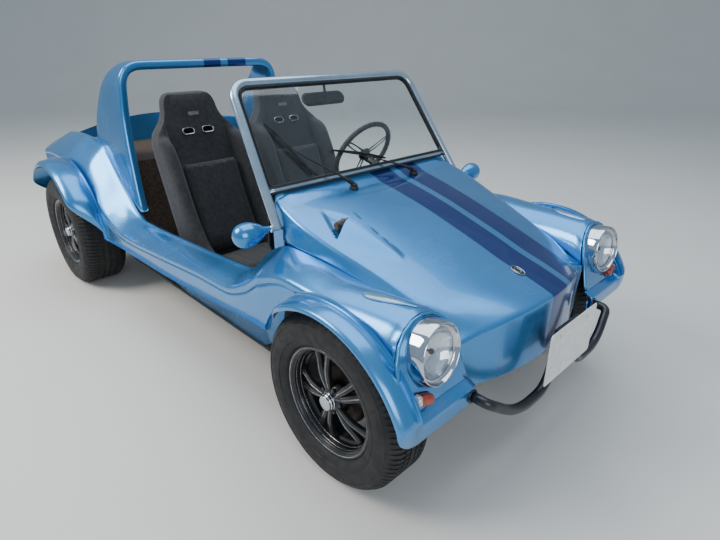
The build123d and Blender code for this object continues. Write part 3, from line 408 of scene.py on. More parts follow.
# CAD nodes that show as they are
for names, material in (
    ("windshield_glass", glass), ("windshield_frame", foot.mat), ("dashboard", black_moulded),
    ("rear_bumper steering_column hand_levers", black_tube), ("rear_deck", deck_sunlit_tan), ("floor_pan", floor_mat),
    ("front_axle_beam knuckle_left knuckle_right rear_suspension", steel_dark), ("transaxle engine", cast),
    ("fan_shroud", shroud_mat), ("exhaust", exhaust_mat), ("tail_panel", paint),
):
    for name in names.split():
        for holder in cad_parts[name].material_slots:
            holder.material = material


# Side mouldings

# Millimetres, with the stations y from the front and then the rear axle:
# station y, inner edge x z, crown x z, crease z, flange foot z, wall foot z
side_rows = np.concatenate([np.array(rows) + axle * 1000 * np.eye(8)[0] for axle, rows in ((F, (
    (-315, 440, 590, 570, 728, 522, 565, 400), (-250, 452, 622, 573, 737, 624, 612, 400),
    (-100, 482, 668, 588, 737, 678, 658, 400), (20, 500, 694, 600, 737, 702, 684, 400),
    (200, 527, 730, 615, 745, 713, 715, 440), (360, 552, 752, 626, 728, 667, 640, 480),
    (464, 550, 708, 625, 668, 598, 330, 470), (621, 550, 580, 625, 572, 543, 212, 455),
    (821, 550, 562, 625, 558, 536, 212, 440), (1254, 550, 538, 625, 530, 500, 212, 412))), (R, (
    (-720, 550, 524, 625, 512, 472, 300, 402), (-500, 551, 655, 625, 592, 520, 400, 372),
    (-330, 541, 790, 625, 722, 618, 500, 380), (-195, 533, 890, 630, 807, 695, 660, 400),
    (75, 548, 915, 640, 850, 781, 710, 400), (330, 548, 900, 640, 845, 792, 620, 400),
    (500, 548, 850, 630, 820, 775, 650, 480))))]) / 1000
side_x = 0.7  # plane of the outer wall
face_y0 = F - 0.315
ledge_z = 0.48  # lower edge of the lamp face
FACE = radians(17)  # how far the lamp face leans back
lean = tan(FACE)
top_fractions = np.array([0, .03, .06, .09, .12, .16, .2, .26, .33, .41, .5, .59, .68, .77, .86, .93, 1])


def face_y(z):
    return face_y0 + (z - 0.624) * lean


def top_profile(q):
    """x and z across a side moulding: inner flange, rolled rim, crown, crease and the wall's start."""
    ix, iz, cx, cz, kz, low, _ = smooth(side_rows[:, 0], side_rows[:, 1:], q)
    top = arc((ix, iz), (cx, cz), (side_x, kz), top_fractions)
    edge = np.array([ix, iz])
    crease = np.array([side_x, kz])
    start = bezier(edge - (0, 0.01), edge, top[1], 4)
    end = bezier(top[-2], crease, crease - (0, 0.016), 5)
    points = np.concatenate([[(ix, low)], start, top[2:-2], end, [crease - (0, 0.024)]])
    rim = step(q, F + 0.33, F + 0.45) * (1 - step(q, R + 0.12, R + 0.26))
    across = points[:, 0] - ix
    hump = np.where(np.abs(across - 0.02) < 0.019, np.cos(pi * (across - 0.02) / 0.038)**2, 0)
    hump[0] = 0
    points[:, 1] += 0.006 * rim * hump
    return points


def top_row(q, back=0.0):
    points = top_profile(q)
    w = np.clip((q - face_y0) / 0.065, 0, 1)
    y = (1 - w) * (face_y(points[:, 1]) + back) + w * (F - 0.25) if w < 1 else np.full(len(points), q)
    return np.stack([points[:, 0], y, points[:, 1]], -1)


lamp_center = np.array([0.571, face_y0, 0.624])
tail_y = R + 0.5
side = Shape()
stations = np.concatenate([np.linspace(face_y0, face_y0 + 0.065, 7)[:-1],
                           np.linspace(F - 0.25, tail_y - 0.012, 150)])
top_rows = [top_row(q, 0.005) for q in stations]
tail_edge = top_row(tail_y)
tail_center = np.array([0.62, tail_y, 0.64])


def tail_roll(last, corner):
    inner = corner + (tail_center - corner) / np.linalg.norm(tail_center - corner, axis=1)[:, None] * 0.012
    return blend(last, corner, inner, 4)[1:]


side.grid(top_rows + tail_roll(top_rows[-1], tail_edge))

# The face round the headlamp: from the moulding's front edge in to the lamp
edge_line = top_row(face_y0)
low_z = edge_line[-1, 2]
wall_edge = [(side_x, face_y(z), z) for z in np.linspace(low_z, ledge_z, 6)[1:]]
ledge_line = [(x, face_y(ledge_z), ledge_z) for x in np.linspace(side_x, 0.424, 14)[1:]]
inner_line = [(0.424 + 0.016 * t, face_y(ledge_z + 0.085 * t), ledge_z + 0.085 * t)
              for t in np.linspace(0, 1, 6)[1:-1]]
border = np.concatenate([edge_line, wall_edge, ledge_line, inner_line])
kind = (["roll"] * (len(edge_line) + len(wall_edge) - 1) + ["fold"] * (len(ledge_line) + 1)
        + ["roll"] * len(inner_line))
face_columns = []
for corner, how in zip(border, kind):
    ring = lamp_center + unit((corner - lamp_center) * (1, 0, 1)) * 0.1
    ring[1] = face_y(ring[2])
    reach = norm(ring - corner)
    inner = corner + (ring - corner) * (min(0.006, reach * 0.5) / reach)
    rim = bezier(corner + (0, 0.005, 0), corner, inner, 4) if how == "roll" else np.repeat(corner[None], 4, 0)
    face_columns.append(np.concatenate([rim, [inner + (ring - inner) * t for t in (0.2, 0.4, 0.6, 0.8, 1)]]))
side.grid(np.transpose(face_columns, (1, 0, 2)), wrap_cols=True)

# Wall, wheel-arch flares and front lip. A section runs from the root on the wall to the turned-in edge
front_center, rear_center = np.array([F - 0.04, 0.325]), np.array([R, 0.341])
lip_section = np.array([(-.38, .4665), (-.387, .4635), (-.391, .46), (-.3935, .455), (-.394, .447),
                        (-.394, .433), (-.394, .418), (-.3938, .406), (-.3925, .401), (-.3885, .3985),
                        (-.384, .398), (-.379, .4), (-.375, .405), (-.3735, .42), (-.3735, .44)])


def band(root, up, amount, width, bulge):
    """Section of a flare: root is (y, z) on the wall, up points away from the opening."""
    w = width * max(amount, 0.07)
    out = np.array([0, .0008, .006, .016, .3 * w, .55 * w, w - .018, w - .006, w - .001, w, w - .003,
                    w - .008, w - .014, .3 * w, 0])
    rise = np.array([.018, .009, .003, .001 + bulge * .4, bulge * .9, bulge, bulge * .6 - .002, -.004,
                     -.01, -.018, -.022, -.019, -.01 + bulge * .3, -.006 + bulge * .6, -.008])
    if amount < 0.3:
        out = np.clip(out, 0, None)
        rise = rise * (0.4 + 2 * amount)
    return np.stack([side_x + out, root[0] + up[0] * rise, root[1] + up[1] * rise], -1)


def arch_section(center, radius, degrees_up, amount, width, bulge):
    a = radians(degrees_up)
    up = np.array([-cos(a), sin(a)])
    return band(center + radius * up, up, amount, width, bulge)


def crease_point(y):
    kz = smooth(side_rows[:, 0], side_rows[:, 5], y)
    return np.array([side_x, y, float(kz) - 0.024])


def wall_rows(top, section):
    steps = np.linspace(0, 1, 6)[:-1, None]
    return np.concatenate([top + (section[0] - top) * steps, section])


lip_rows, wall = [], []
for x in np.linspace(0.421, 0.685, 12):
    section = np.stack([np.full(15, x), F + lip_section[:, 0], lip_section[:, 1]], -1)
    lip_rows.append(wall_rows(np.array([x, face_y(ledge_z), ledge_z]), section))
# Where the crease's points stand for the degrees round each wheel arch
front_keys = ([24, 32, 40, 50, 70, 90, 115, 135, 150, 157],
              [-.349, -.335, -.312, -.27, -.155, -.04, .13, .26, .36, .42])
for a in np.linspace(24, 157, 70):
    amount = 1 - step(a, 118, 156)
    section = arch_section(front_center, 0.39, a, amount, 0.075, 0.004)
    y = F + float(smooth(*front_keys, a))
    if a < 34:
        z = ledge_z + (float(crease_point(F - 0.337)[2]) - ledge_z) * (a - 24) / 10
        top = np.array([side_x, face_y(z) + 0.005, z])
    else:
        top = crease_point(y)
    wall.append(wall_rows(top, section))
a, c = lip_rows[-1], wall[0]
corner_rows = blend(a, np.stack([c[:, 0], (a[:, 1] + c[:, 1]) / 2 - 0.004, a[:, 2]], -1), c, 9, False)
pod_bottom = (wall[-1][5, 1], R - 0.425)
for t in np.linspace(0, 1, 60)[1:]:
    y = pod_bottom[0] + (pod_bottom[1] - pod_bottom[0]) * t
    low = float(smooth([F + .31, F + .46, F + .62, F + .82, F + 1.25, R - .72, R - .425],
                       [.478, .47, .455, .44, .412, .402, .385], y))
    top = crease_point(F + 0.42 + (R - 0.46 - F - 0.42) * t)
    wall.append(wall_rows(top, band((y, low), (0, 1), 0, 0.09, 0)))
rear_keys = ([6, 25, 45, 65, 90, 115, 140, 160], [-.452, -.41, -.33, -.2, -.01, .18, .34, .45])
for a in np.linspace(6, 160, 90):
    amount = step(a, 5, 40) * (1 - step(a, 138, 164))
    section = arch_section(rear_center, 0.44 - 0.006 * (1 - amount), a, amount, 0.149, 0.016 * amount)
    wall.append(wall_rows(crease_point(R + float(smooth(*rear_keys, a))), section))
for y, low in zip(np.linspace(R + 0.456, tail_y - 0.012, 5), np.linspace(R + 0.422, tail_y - 0.012, 5)):
    wall.append(wall_rows(crease_point(y), band((low, 0.49), (0, 1), 0, 0.09, 0)))
last = wall[-1]
wall += tail_roll(last, last + (0, 0.012, 0))
side.grid(lip_rows + corner_rows + wall)
plate = np.concatenate([tail_roll(top_rows[-1], tail_edge)[-1], wall[-1][:8]])
plate[:, 1] = tail_y
side.add(plate, [tuple(range(len(plate)))])
for hand in HANDS:
    handed(side, hand).make("side_moulding_" + hand, paint, slot="body_paint", thickness=0.004,
                            replaces=[part + hand for part in ("front_fender_", "side_pod_", "rear_fender_")])

# Hood and nose

# Millimetres: station y from the front axle, edge x z, crown z, seam x z
hood_rows = np.array([
    (-350, 338, 602, 628, 439.4, 584), (-250, 398, 645, 672, 451.7, 616), (-100, 444, 698, 729, 481.7, 662),
    (20, 471, 738, 769, 499.7, 688), (200, 511, 795, 825, 526.7, 724), (360, 528, 852, 864, 551.7, 746),
    (480, 520, 894, 889, 524, 800)]) / 1000


def hood_half(q):
    """Half section of the hood from its centre to its seam, as x and z."""
    ex, ez, cz, sx, sz = smooth(hood_rows[:, 0], hood_rows[:, 1:], q)
    top = arc((-ex, ez), (0, cz), (ex, ez), np.linspace(0.5, 0.972, 60))
    edge, foot = np.array([ex, ez]), np.array([sx, sz])
    corner = bezier(top[-1], edge, edge + unit(foot - edge) * 0.018, 10)[1:]
    lower = [corner[-1] + (foot - corner[-1]) * t for t in np.linspace(0, 1, 6)[1:]]
    return np.concatenate([top, corner, lower])


# The scoop rises from its tip to an opening that faces rearward over a dished run-out
scoop_a, scoop_b = np.array([-0.476, 0.19]), np.array([-0.33, 0.25])
scoop_width = norm(scoop_b - scoop_a)
scoop_across = (scoop_b - scoop_a) / scoop_width
scoop_back = np.array([-scoop_across[1], scoop_across[0]])


def scoop_height(x, y):
    away = np.stack([x, y], -1) - scoop_a
    across, back = away @ scoop_across, away @ scoop_back
    f = np.clip(-back / 0.23, 0, 1)
    inner, outer = scoop_width + (0.067 - scoop_width) * f, -0.01 + 0.046 * f
    rise = 0.033 * (1 - f)**0.85 * step((across - outer) / (inner - outer), 0, 0.62)
    rise *= 1 - step(across - inner, -0.003, 0.01)
    g = np.clip(back / 0.128, 0, 1)
    inner, outer = scoop_width + (0.133 - scoop_width) * g, 0.012 + 0.121 * g
    sink = 0.019 * (1 - g) * step(across - outer, -0.004, 0.012) * (1 - step(across - inner, -0.011, 0.003))
    return np.where(back < 0, rise, -sink)


table_q = np.linspace(-0.35, 0.48, 240)
table_half = np.array([hood_half(q) for q in table_q])
keep = [i for i in range(1, table_half.shape[1]) if i >= 60 or i % 4 == 0]
table_full = np.concatenate([table_half[:, ::-1] * (-1, 1), table_half[:, keep]], axis=1)
columns = range(table_full.shape[1])


def hood_row(q):
    """One row of the hood; near the scoop the rows swing to follow its opening."""
    x = np.array([np.interp(q, table_q, table_full[:, c, 0]) for c in columns])
    swing = np.interp(x, [-0.6, -0.5, -0.3, -0.1], [-0.02, -0.04, 0.0423, 0])
    at = np.clip(q + swing * step(q, 0, 0.16) * (1 - step(q, 0.28, 0.37)), -0.35, 0.48)
    full = np.array([[np.interp(at[c], table_q, table_full[:, c, k]) for k in (0, 1)] for c in columns])
    x = full[:, 0]
    bow = np.where(np.abs(x) < 0.338, -0.06 * (1 - (x / 0.338)**2), (np.abs(x) - 0.338) * 0.25)
    y = at + bow * (1 - step(q, -0.35, -0.16))
    lip = 0.01 * step(q, 0.425, 0.475) * (1 - step(np.abs(x), 0.44, 0.5))
    return np.stack([x, F + y, full[:, 1] + lip + scoop_height(x, y)], -1)


hood = Shape()
hood_qs = np.concatenate([np.linspace(-0.34, -0.01, 34), np.linspace(0, 0.2188, 52), [0.2198, 0.2202],
                          np.linspace(0.2212, 0.37, 38), np.linspace(0.38, 0.48, 12)])
rows = [hood_row(q) for q in hood_qs]
base = rows[-1]
flare_x, ones = np.clip(base[:, 0], -0.522, 0.522), np.ones(len(base))
under = np.stack([(base[:, 0] + flare_x) / 2, (F + 0.494) * ones, np.minimum(base[:, 2] + 0.004, 0.905)], -1)
rail = np.stack([flare_x, (F + 0.496) * ones, 0.91 * ones], -1)
wide = 1 - step(np.abs(base[:, 0]), 0.5, 0.523)[:, None]
rail, under = base + (rail - base) * wide, base + (under - base) * wide
rows += blend(base, under, rail, 9)[1:]
brink = hood_row(-0.35)
x_low = np.sign(brink[:, 0]) * np.interp(np.abs(brink[:, 0]), [0, 0.338, 0.4394], [0, 0.338, 0.42])
fall = []
for t in np.linspace(0, 1, 9):
    z = (brink[:, 2] - 0.01) * (1 - t) + 0.4 * t
    fall.append(np.stack([brink[:, 0] + (x_low - brink[:, 0]) * min(1, t * 1.6), brink[:, 1], z], -1))
rows_of_hood = blend(rows[0], brink, fall[0], 5, False)[::-1] + rows
hood.grid([fall[-1] + (0, 0.012, 0)] + fall[::-1] + rows_of_hood)
hood.make("hood_skin", paint_hood, thickness=0.004, replaces="hood", slot="body_paint")


def on_hood(x, y):
    """Height of the plain hood at a place behind the front axle."""
    k = np.abs(table_q - y).argmin()
    return float(np.interp(x, table_full[k, :, 0], table_full[k, :, 1]))


duct = Shape()
mid = scoop_a + scoop_across * 0.105 + scoop_back * 0.012
duct_axes = [(*scoop_across, 0), (*scoop_back, 0), (0, 0, 1)]
duct_z = on_hood(*mid)
duct.block((mid[0], F + mid[1], duct_z - 0.001), (0.084, 0.022, 0.036), duct_axes)
duct.make("scoop_duct", black_moulded, bevel=0.004, slot="trim_black")
# Black strip just behind the scoop's opening, in the moulded black plastic finish: painted shade for the dark
# inside of the opening.
shade = Shape()
strip_rows = []
for t in np.linspace(0.1, 0.985, 24):
    spot = scoop_a + (scoop_b - scoop_a) * t + scoop_back * 0.0012
    z = on_hood(*spot)
    rise = float(scoop_height(*(spot - scoop_back * 0.004)))
    reach = -0.018 * min(1, t * 3), max(rise - 0.0035, -0.01)
    strip_rows.append([(spot[0], F + spot[1], z + h) for h in reach])
shade.grid(strip_rows)
shade.make("scoop_opening_painted_shade", black_moulded, slot="trim_black", thickness=0.0008)
bellows = Shape()
start = np.array([*(scoop_a + scoop_across * 0.07 + scoop_back * 0.028), duct_z + 0.004]) + (0, F, 0)
ribs = [(0.0125 + 0.0024 * cos(h / 0.052 * 2 * pi * 6), h) for h in np.linspace(0, 0.052, 27)]
bellows.lathe([(0.001, 0), *ribs, (0.001, 0.052)], start, (*scoop_across, 0), 28)
brown = plain("brown_bellows_rubber", (104, 84, 66), (70, 56, 46), (0.5, 0.75), 0, 60, 500, 0.4)
bellows.make("scoop_bellows", brown, slot="trim_black")

# Roll hoop

# Heights, and the y of the hoop's front and rear edge there
hoop_front = ([.55, .7, 1.1, 1.345], [R - .655, R - .6, R - .52, R - .53])
hoop_rear = ([.55, .9, .962, 1.04, 1.17, 1.31, 1.345],
             [R - .05, R - .085, R - .09, R - .12, R - .21, R - .37, R - .41])
seam_line = ([-.66, -.64, -.5, -.33, -.195, -.085, -.04], [.56, .573, .656, .791, .891, .9015, .903])
outer = rounded([(-0.5607, 0.55), (-0.5, 1.345), (0.5, 1.345), (0.5607, 0.55)], [0, 0.135, 0.135, 0], 14)
# The straights get more points; between them are the two round corners
leg, top, other_leg = [[outer[i] + (outer[i + 1] - outer[i]) * t for t in np.linspace(0, 1, n)]
                       for i, n in ((0, 30), (14, 40), (28, 30))]
path = np.array([*leg[:-1], *outer[1:15], *top[1:-1], *outer[15:29], *other_leg[1:]])
along = np.gradient(path, axis=0)
along /= np.linalg.norm(along, axis=1)[:, None]
inward = np.stack([along[:, 1], -along[:, 0]], -1)
corner = 0.017
hoop = Shape()
hoop_grid = []
for p, n in zip(path, inward):
    inner = p + n * 0.048
    yf = [float(smooth(*hoop_front, z)) for z in (p[1], inner[1])]
    yr = [float(smooth(*hoop_rear, z)) for z in (p[1], inner[1])]
    a, b = corner / 0.048, corner / (yr[0] - yf[0])
    half = np.concatenate([[(0, s) for s in np.linspace(b, 1 - b, 6)],
                           bezier((0, 1 - b), (0, 1), (a, 1), 5)[1:],
                           bezier((1 - a, 1), (1, 1), (1, 1 - b), 5)])
    ring = []
    for s, d in (*half, *(1 - half[1:-1])):
        at = p + n * 0.048 * s
        y = (yf[0] * (1 - s) + yf[1] * s) * (1 - d) + (yr[0] * (1 - s) + yr[1] * s) * d
        z = max(at[1], float(np.interp(y - R, *seam_line)) + 0.001)
        ring.append((at[0], y, z))
    hoop_grid.append(ring)
hoop.grid(hoop_grid, wrap_cols=True)
hoop.make("roll_hoop_skin", paint_hoop, replaces="roll_hoop", slot="body_paint", merge=3e-4)

# Wheels and tyres

INNER, OUTER = 0.2, 0.62  # the grooves round the tyre, as fractions of half the tread


def tread_depth(h, tread):
    """How deep the grooves round the tyre are at a place across it, and how far the blocks are cut."""
    h = abs(h)
    near = min(abs(h - g * tread) for g in (INNER, OUTER))
    return 0.006 * (near < 0.0032), (0.0045 if h > 0.66 * tread else 0.0028 if h > 0.24 * tread else 0)


def wheel(name, x, y, radius, width, rim_width, side):
    center, out, body = (x * side, y, radius), (side, 0, 0), "wheel_" + name
    half, hr = width / 2, rim_width / 2
    # Side wall, measured in from the tread and from the widest place; then the bead on the rim
    wall_half = [(radius - r, half - h) for r, h in (
        (.003, .036), (.0075, .026), (.014, .018), (.024, .0095), (.032, .005), (.0335, .003), (.0375, .0026),
        (.039, .004), (.052, .001), (.066, 0), (.084, .0022), (.0855, .0008), (.0885, .0012), (.09, .0036))]
    wall_half += [(.215, half - .01), (.2085, hr + .004), (.2062, hr - .0045), (.1925, hr - .0065),
                  (.1905, hr - .012)]
    tread = half - .04
    hs = sorted({round(s * v, 5) for s in (-1, 1) for g in (INNER * tread, OUTER * tread)
                 for v in (g - .0036, g - .0031, g + .0031, g + .0036, 0.4 * tread, 0.85 * tread, tread)})
    rows = [(r, -h) for r, h in reversed(wall_half)] + [(radius, h) for h in hs] + wall_half
    pitches = 92
    turns = np.array([(i + f) / pitches for i in range(pitches) for f in (0, .6, .66, .94)]) * 2 * pi
    cut = np.array([0, 0, 1, 1] * pitches)
    u, v, w = np.array([0, -1, 0]), np.array([0, 0, 1]), np.array(out)
    grid = []
    for r, h in rows:
        around, across = tread_depth(h, tread)
        if abs(h) > tread:
            fade = np.interp(abs(h), half - np.array([.036, .018, .009]), [1, .9, 0])
            around, across = 0, 0.0045 * fade * (r > radius - .026)
        depth = np.maximum(around, across * cut)
        at = turns + 0.55 * abs(h)
        spokes = np.outer(np.cos(at), u) + np.outer(np.sin(at), v)
        grid.append(np.array(center) + (r - depth)[:, None] * spokes + h * w)
    tyre = Shape()
    tyre.grid([g[::side] for g in grid] + [grid[0][::side]], wrap_cols=True)
    tyre.make("tyre_tread_" + name, rubber, body, replaces="tyre_" + name, slot="tyre_rubber", merge=0)
    rim = Shape()
    # Once round the rim's section: the outer lip and barrel, the inner lip, and back inside the tyre
    profile = [(r, hr + h) for r, h in (
        (.204, -.004), (.2046, -.0015), (.2034, 0), (.1985, 0), (.196, -.0015), (.1925, -.007),
        (.186, -.0105), (.1838, -.013), (.1832, -.02), (.1818, -.022), (.1808, -.036), (.179, -.038),
        (.1775, -.052), (.169, -.058), (.168, -.066))]
    profile += [(r, h - hr) for r, h in (
        (.18, .03), (.182, .012), (.196, 0), (.204, 0), (.204, .004), (.19, .006), (.19, .02))]
    profile += [(.176, hr - .06), (.19, hr - .006), (.204, hr - .004)]
    rim.lathe(profile, center, out, 112, slots=[0, 1, 0, 1] + [0] * 20)
    for r, h in ((.1836, hr - .0205), (.1806, hr - .037)):
        bead = [(r + .0012 * cos(a), h + .0012 * sin(a)) for a in np.linspace(0, 2 * pi, 9)]
        rim.lathe(bead, center, out, 112, slot=1)
    for k in range(5):
        for lean in (-1, 1):
            blade, ridge = [], []
            for t in np.linspace(0, 1, 16):
                r = .034 + .1395 * t
                angle = radians(38 + 72 * k + lean * (9.5 - 2.0 * t + 3.2 * t**3))
                outward = turned(angle, u, v)
                sideways = np.cross(w, outward)
                a = .0095 + .0045 * step(t, 0, .55) + .0035 * step(t, .7, 1)
                top = hr - .0225 - .016 * step(t, .45, 1.1) + .003 * sin(pi * min(1, t * 1.5))
                low = top - .018
                section = [(-a, low), (-a, top - .008), (-a * .86, top - .0035), (-a * .3, top - .0006),
                           (0, top), (a * .3, top - .0006), (a * .86, top - .0035), (a, top - .008), (a, low)]
                bead = [(-.0018, top - .0008), (-.0012, top + .0004), (0, top + .0007), (.0012, top + .0004),
                        (.0018, top - .0008)]
                for rows, line in ((blade, section), (ridge, bead)):
                    rows.append([np.array(center) + r * outward + s * sideways * side + h * w
                                 for s, h in line])
            rim.grid(blade).grid(ridge[1:], slot=1)
    for count, slot, rows in (
            (64, 0, ((.06, -.054), (.056, -.044), (.048, -.031), (.04, -.0245), (.033, -.0225), (0, -.022))),
            (56, 2, ((.0325, -.024), (.0322, -.015), (.03, -.0132), (.0296, -.0105), (.0306, -.009),
                     (.0302, -.0055), (.028, -.004), (.0268, -.0015), (.0272, .0005), (.0262, .003),
                     (.0215, .004), (.02, .0028), (.012, .004), (0, .005))),
            (72, 3, ((.02, -.074), (.094, -.074), (.101, -.0755), (.106, -.079), (.108, -.086),
                     (.112, -.0865), (.112, -.0895), (.1085, -.0905), (.1085, -.1185), (.102, -.122),
                     (.016, -.122)))):  # hub, cap and brake drum
        rim.lathe([(r, hr + h) for r, h in rows], center, out, count, slot=slot)
    for k in range(5):
        seat = np.array(center) + .0462 * turned(radians(74 + 72 * k), u, v) + (hr - .033) * w
        rim.lathe([(.0075, 0), (.0078, .008), (.0065, .0115), (0, .0125)], seat, out, 6)
    valve = v * .8 - u * .6
    rim.lathe([(.004, 0), (.0042, .012), (.003, .0135), (0, .014)],
              np.array(center) + .179 * valve + (hr - .044) * w, w - valve, 10)
    rim.make("rim_" + name, [rim_dark, rim_edge, chrome, steel_dark], body, replaces="wheel_" + name,
             slot="wheel_alloy", bevel=0.0006)


for hand, out in zip(HANDS, (1, -1)):
    wheel("front_" + hand, 0.625, F, 0.325, 0.205, 0.165, out)
    wheel("rear_" + hand, 0.690, R, 0.341, 0.255, 0.215, out)

# Lamps

lamp_origin = np.array([0.571, F - 0.337, 0.624])
lamp_normal = unit([-sin(radians(4)), -cos(radians(7)), sin(radians(7))])
lamp_u, lamp_v, _ = basis(lamp_normal)
face_normal = np.array([0, -cos(FACE), sin(FACE)])
face_up = np.array([0, sin(FACE), cos(FACE)])
front_part = [(.1, 0), (.0998, .009), (.099, .017), (.0975, .0225), (.0958, .0262), (.0945, .0277),
              (.0932, .0279), (.092, .0266), (.0908, .0225), (.088, .015), (.085, .0118), (.0815, .0112)]
skirt, gasket = [], []
for a in np.linspace(0, 2 * pi, 96, endpoint=False):
    spoke = turned(a, lamp_u, lamp_v)
    p = lamp_origin + .1003 * spoke
    back = (face_y(p[2]) + 0.003 - p[1]) / (lamp_normal[1] - lamp_normal[2] * lean)
    skirt.append([p + lamp_normal * back * t for t in (1, .66, .33)]
                 + [lamp_origin + r * spoke + h * lamp_normal for r, h in front_part])
    gasket.append(p + spoke * 0.0012 + lamp_normal * (back + 0.0052))
bezel = Shape().grid(skirt, wrap_rows=True).tube(gasket, 0.0016, 8, closed=True, slot=1)
bezel.lathe([(.0818, .0112), (.08, .0108), (.0772, .006), (.07, -.008), (.056, -.02), (.038, -.028),
             (.017, -.032), (0, -.032)], lamp_origin, lamp_normal, 96, slot=2)
bezel.lathe([(.003, -.031), (.003, -.02), (.0082, -.018), (.0088, -.011), (.0062, -.007), (0, -.006)],
            lamp_origin, lamp_normal, 24, slot=3)
lens = Shape()
dome = [(.08 * sin(a), .0105 + .013 * cos(a)) for a in np.linspace(pi / 2, 0, 14)]
lens.lathe(dome + [(r * .97, h - .0024) for r, h in dome[::-1]] + [dome[0]], lamp_origin, lamp_normal, 96)
signal = Shape()
signal_center = np.array([0.644, face_y(0.508), 0.508])


def capsule(center, u, v, length, height, n=12):
    """Outline of a slot: two half circles joined by straights."""
    r = height / 2
    ends = [(s * (length / 2 - r) + r * cos(a), r * sin(a)) for s, first in ((1, -pi / 2), (-1, pi / 2))
            for a in np.linspace(first, first + pi, n)]
    return np.array([center + x * u + z * v for x, z in ends])


def slot_form(shape, center, u, v, n, length, height, levels, slot=0, clear=None):
    """Slot-shaped lens built up in shrinking outlines; what lies beyond clear takes the next material."""
    rings = [capsule(center + n * h, u, v, length - 2 * d, height - 2 * d) for d, h in levels]
    fold = np.r_[11:-1:-1, 23:11:-1]  # each outline point's mirror image across the slot
    rings.append(rings[-1][fold] * 0.5 + rings[-1] * 0.5 + n * 0.0004)
    count = len(rings[0])
    for i in range(len(rings) - 1):
        for j in range(count):
            k = (j + 1) % count
            quad = [rings[i][j], rings[i][k], rings[i + 1][k], rings[i + 1][j]]
            far = clear is not None and min((q - center) @ u for q in quad[:2]) > clear
            shape.add(quad, [(0, 1, 2, 3)], slot + 1 if far else slot)


tip = radians(-18)
signal_along, signal_across = turned(-tip, X, face_up), turned(tip, face_up, X)
slot_form(signal, signal_center, signal_along, signal_across, face_normal, .08, .042,
          [(0, 0), (.0004, .005), (.0022, .007), (.004, .0072)], 2)
slot_form(signal, signal_center, signal_along, signal_across, face_normal, .074, .036,
          [(0, .005), (.0002, .016), (.0012, .022), (.0035, .0262), (.007, .0286), (.011, .0296)],
          clear=.0215)
tail_lamp = Shape()
tail_spot = (0.625, R + 0.5, 0.66)
tail_lamp.lathe([(.043, 0), (.0432, .006), (.0415, .009), (.04, .0085)], tail_spot, Y, 64, slot=1)
tail_lamp.lathe([(.04, .007), (.0396, .018), (.0378, .0235), (.034, .027), (.026, .029), (.0255, .0278),
                 (.0235, .0278), (.023, .0292), (.01, .0299), (0, .03)], tail_spot, Y, 64)
for hand in HANDS:
    for shape, name, mats, node, slot in (
        (bezel, "headlamp_chrome_", [chrome, paint, mirror_mat, black_moulded], "headlamp_bezel_", "chrome"),
        (lens, "headlamp_lens_", [clear_lens], "headlamp_", "lamp_glass"),
        (signal, "signal_lens_", [amber, frosted, seal], "turn_signal_", "amber_lens"),
        (tail_lamp, "tail_lens_", [red_lens, chrome], "tail_lamp_", "red_lens")):
        handed(shape, hand).make(name + hand, mats, replaces=node + hand, slot=slot)

# Seats

seat_x = 0.285
# Millimetres: back, channel floor and wing edge as y z from the front axle, half width, crown of the floor
seat_rows = np.array([
    (846, 312, 838, 372, 836, 380, 196, 0), (846, 296, 850, 390, 842, 432, 200, 0),
    (890, 285, 888, 384, 876, 468, 200, 0), (1040, 270, 1030, 369, 1000, 474, 200, 0),
    (1180, 256, 1140, 356, 1105, 478, 202, 0), (1262, 249, 1215, 356, 1155, 508, 208, 0),
    (1312, 258, 1252, 392, 1196, 566, 214, 0), (1342, 304, 1276, 438, 1232, 632, 226, 0),
    (1400, 466, 1332, 586, 1284, 746, 238, 2), (1474, 676, 1402, 770, 1338, 866, 240, 4),
    (1538, 852, 1458, 900, 1392, 960, 240, 6), (1568, 940, 1478, 955, 1430, 985, 238, 8),
    (1592, 1004, 1494, 1004, 1478, 1004, 221, 9), (1600, 1026, 1502, 1026, 1494, 1026, 203, 9),
    (1612, 1062, 1516, 1062, 1514, 1062, 170, 10), (1626, 1104, 1529, 1104, 1529, 1104, 148, 11),
    (1638, 1150, 1543, 1150, 1543, 1150, 139, 12), (1640, 1176, 1552, 1176, 1552, 1176, 128, 9),
    (1634, 1193, 1563, 1193, 1563, 1193, 108, 4), (1612, 1198, 1588, 1198, 1588, 1198, 92, 0)]) / 1000
slot_rows = (12.0, 13.0)  # the harness slots reach from one row to the other
COLUMNS = (0, .0145, .029, .046, .063, .081)  # the slots lie between the third and the last
places = sorted(set(np.round(np.linspace(0, len(seat_rows) - 1, 92), 3)) | set(slot_rows))


def seat_half(u):
    """Half of a section round the shell, from the channel floor over the wing to the back."""
    by, bz, cy, cz, ay, az, w, crown = smooth(np.arange(len(seat_rows)), seat_rows, u)
    c, up, back = np.array([cy, cz]), np.array([ay - cy, az - cz]), np.array([by - cy, bz - cz])
    inner = min(0.165, w - 0.03)
    span = w - inner
    # x, rise above the floor, and the way up the wing, or down behind it where negative
    near = [*COLUMNS, *(.081 + (inner - .081) * t for t in (.35, .7, .93))]
    floor = [(x, crown * (1 - (x / inner)**2), 0) for x in near]
    wing = [(inner + f * span, 0, t) for f, t in (
        (0, .04), (.03, .25), (.1, .58), (.2, .82), (.34, .95), (.52, 1.0), (.7, .985), (.85, .93), (.96, .8),
        (1, .55), (1, .2))]
    behind = [(max(w - d, .083), 0, t) for d, t in (
        (0, -.15), (.001, -.5), (.005, -.74), (.014, -.88), (.03, -.96), (.052, -1))]
    behind += [(x, 0, -1) for x in COLUMNS[::-1]]
    lift = unit(up) if norm(up) > 0.004 else -unit(back)
    out = []
    for x, rise, t in floor + wing + behind:
        at = c + lift * rise + (up * t if t > 0 else back * -t)
        out.append((x, F + at[0], at[1]))
    return np.array(out)


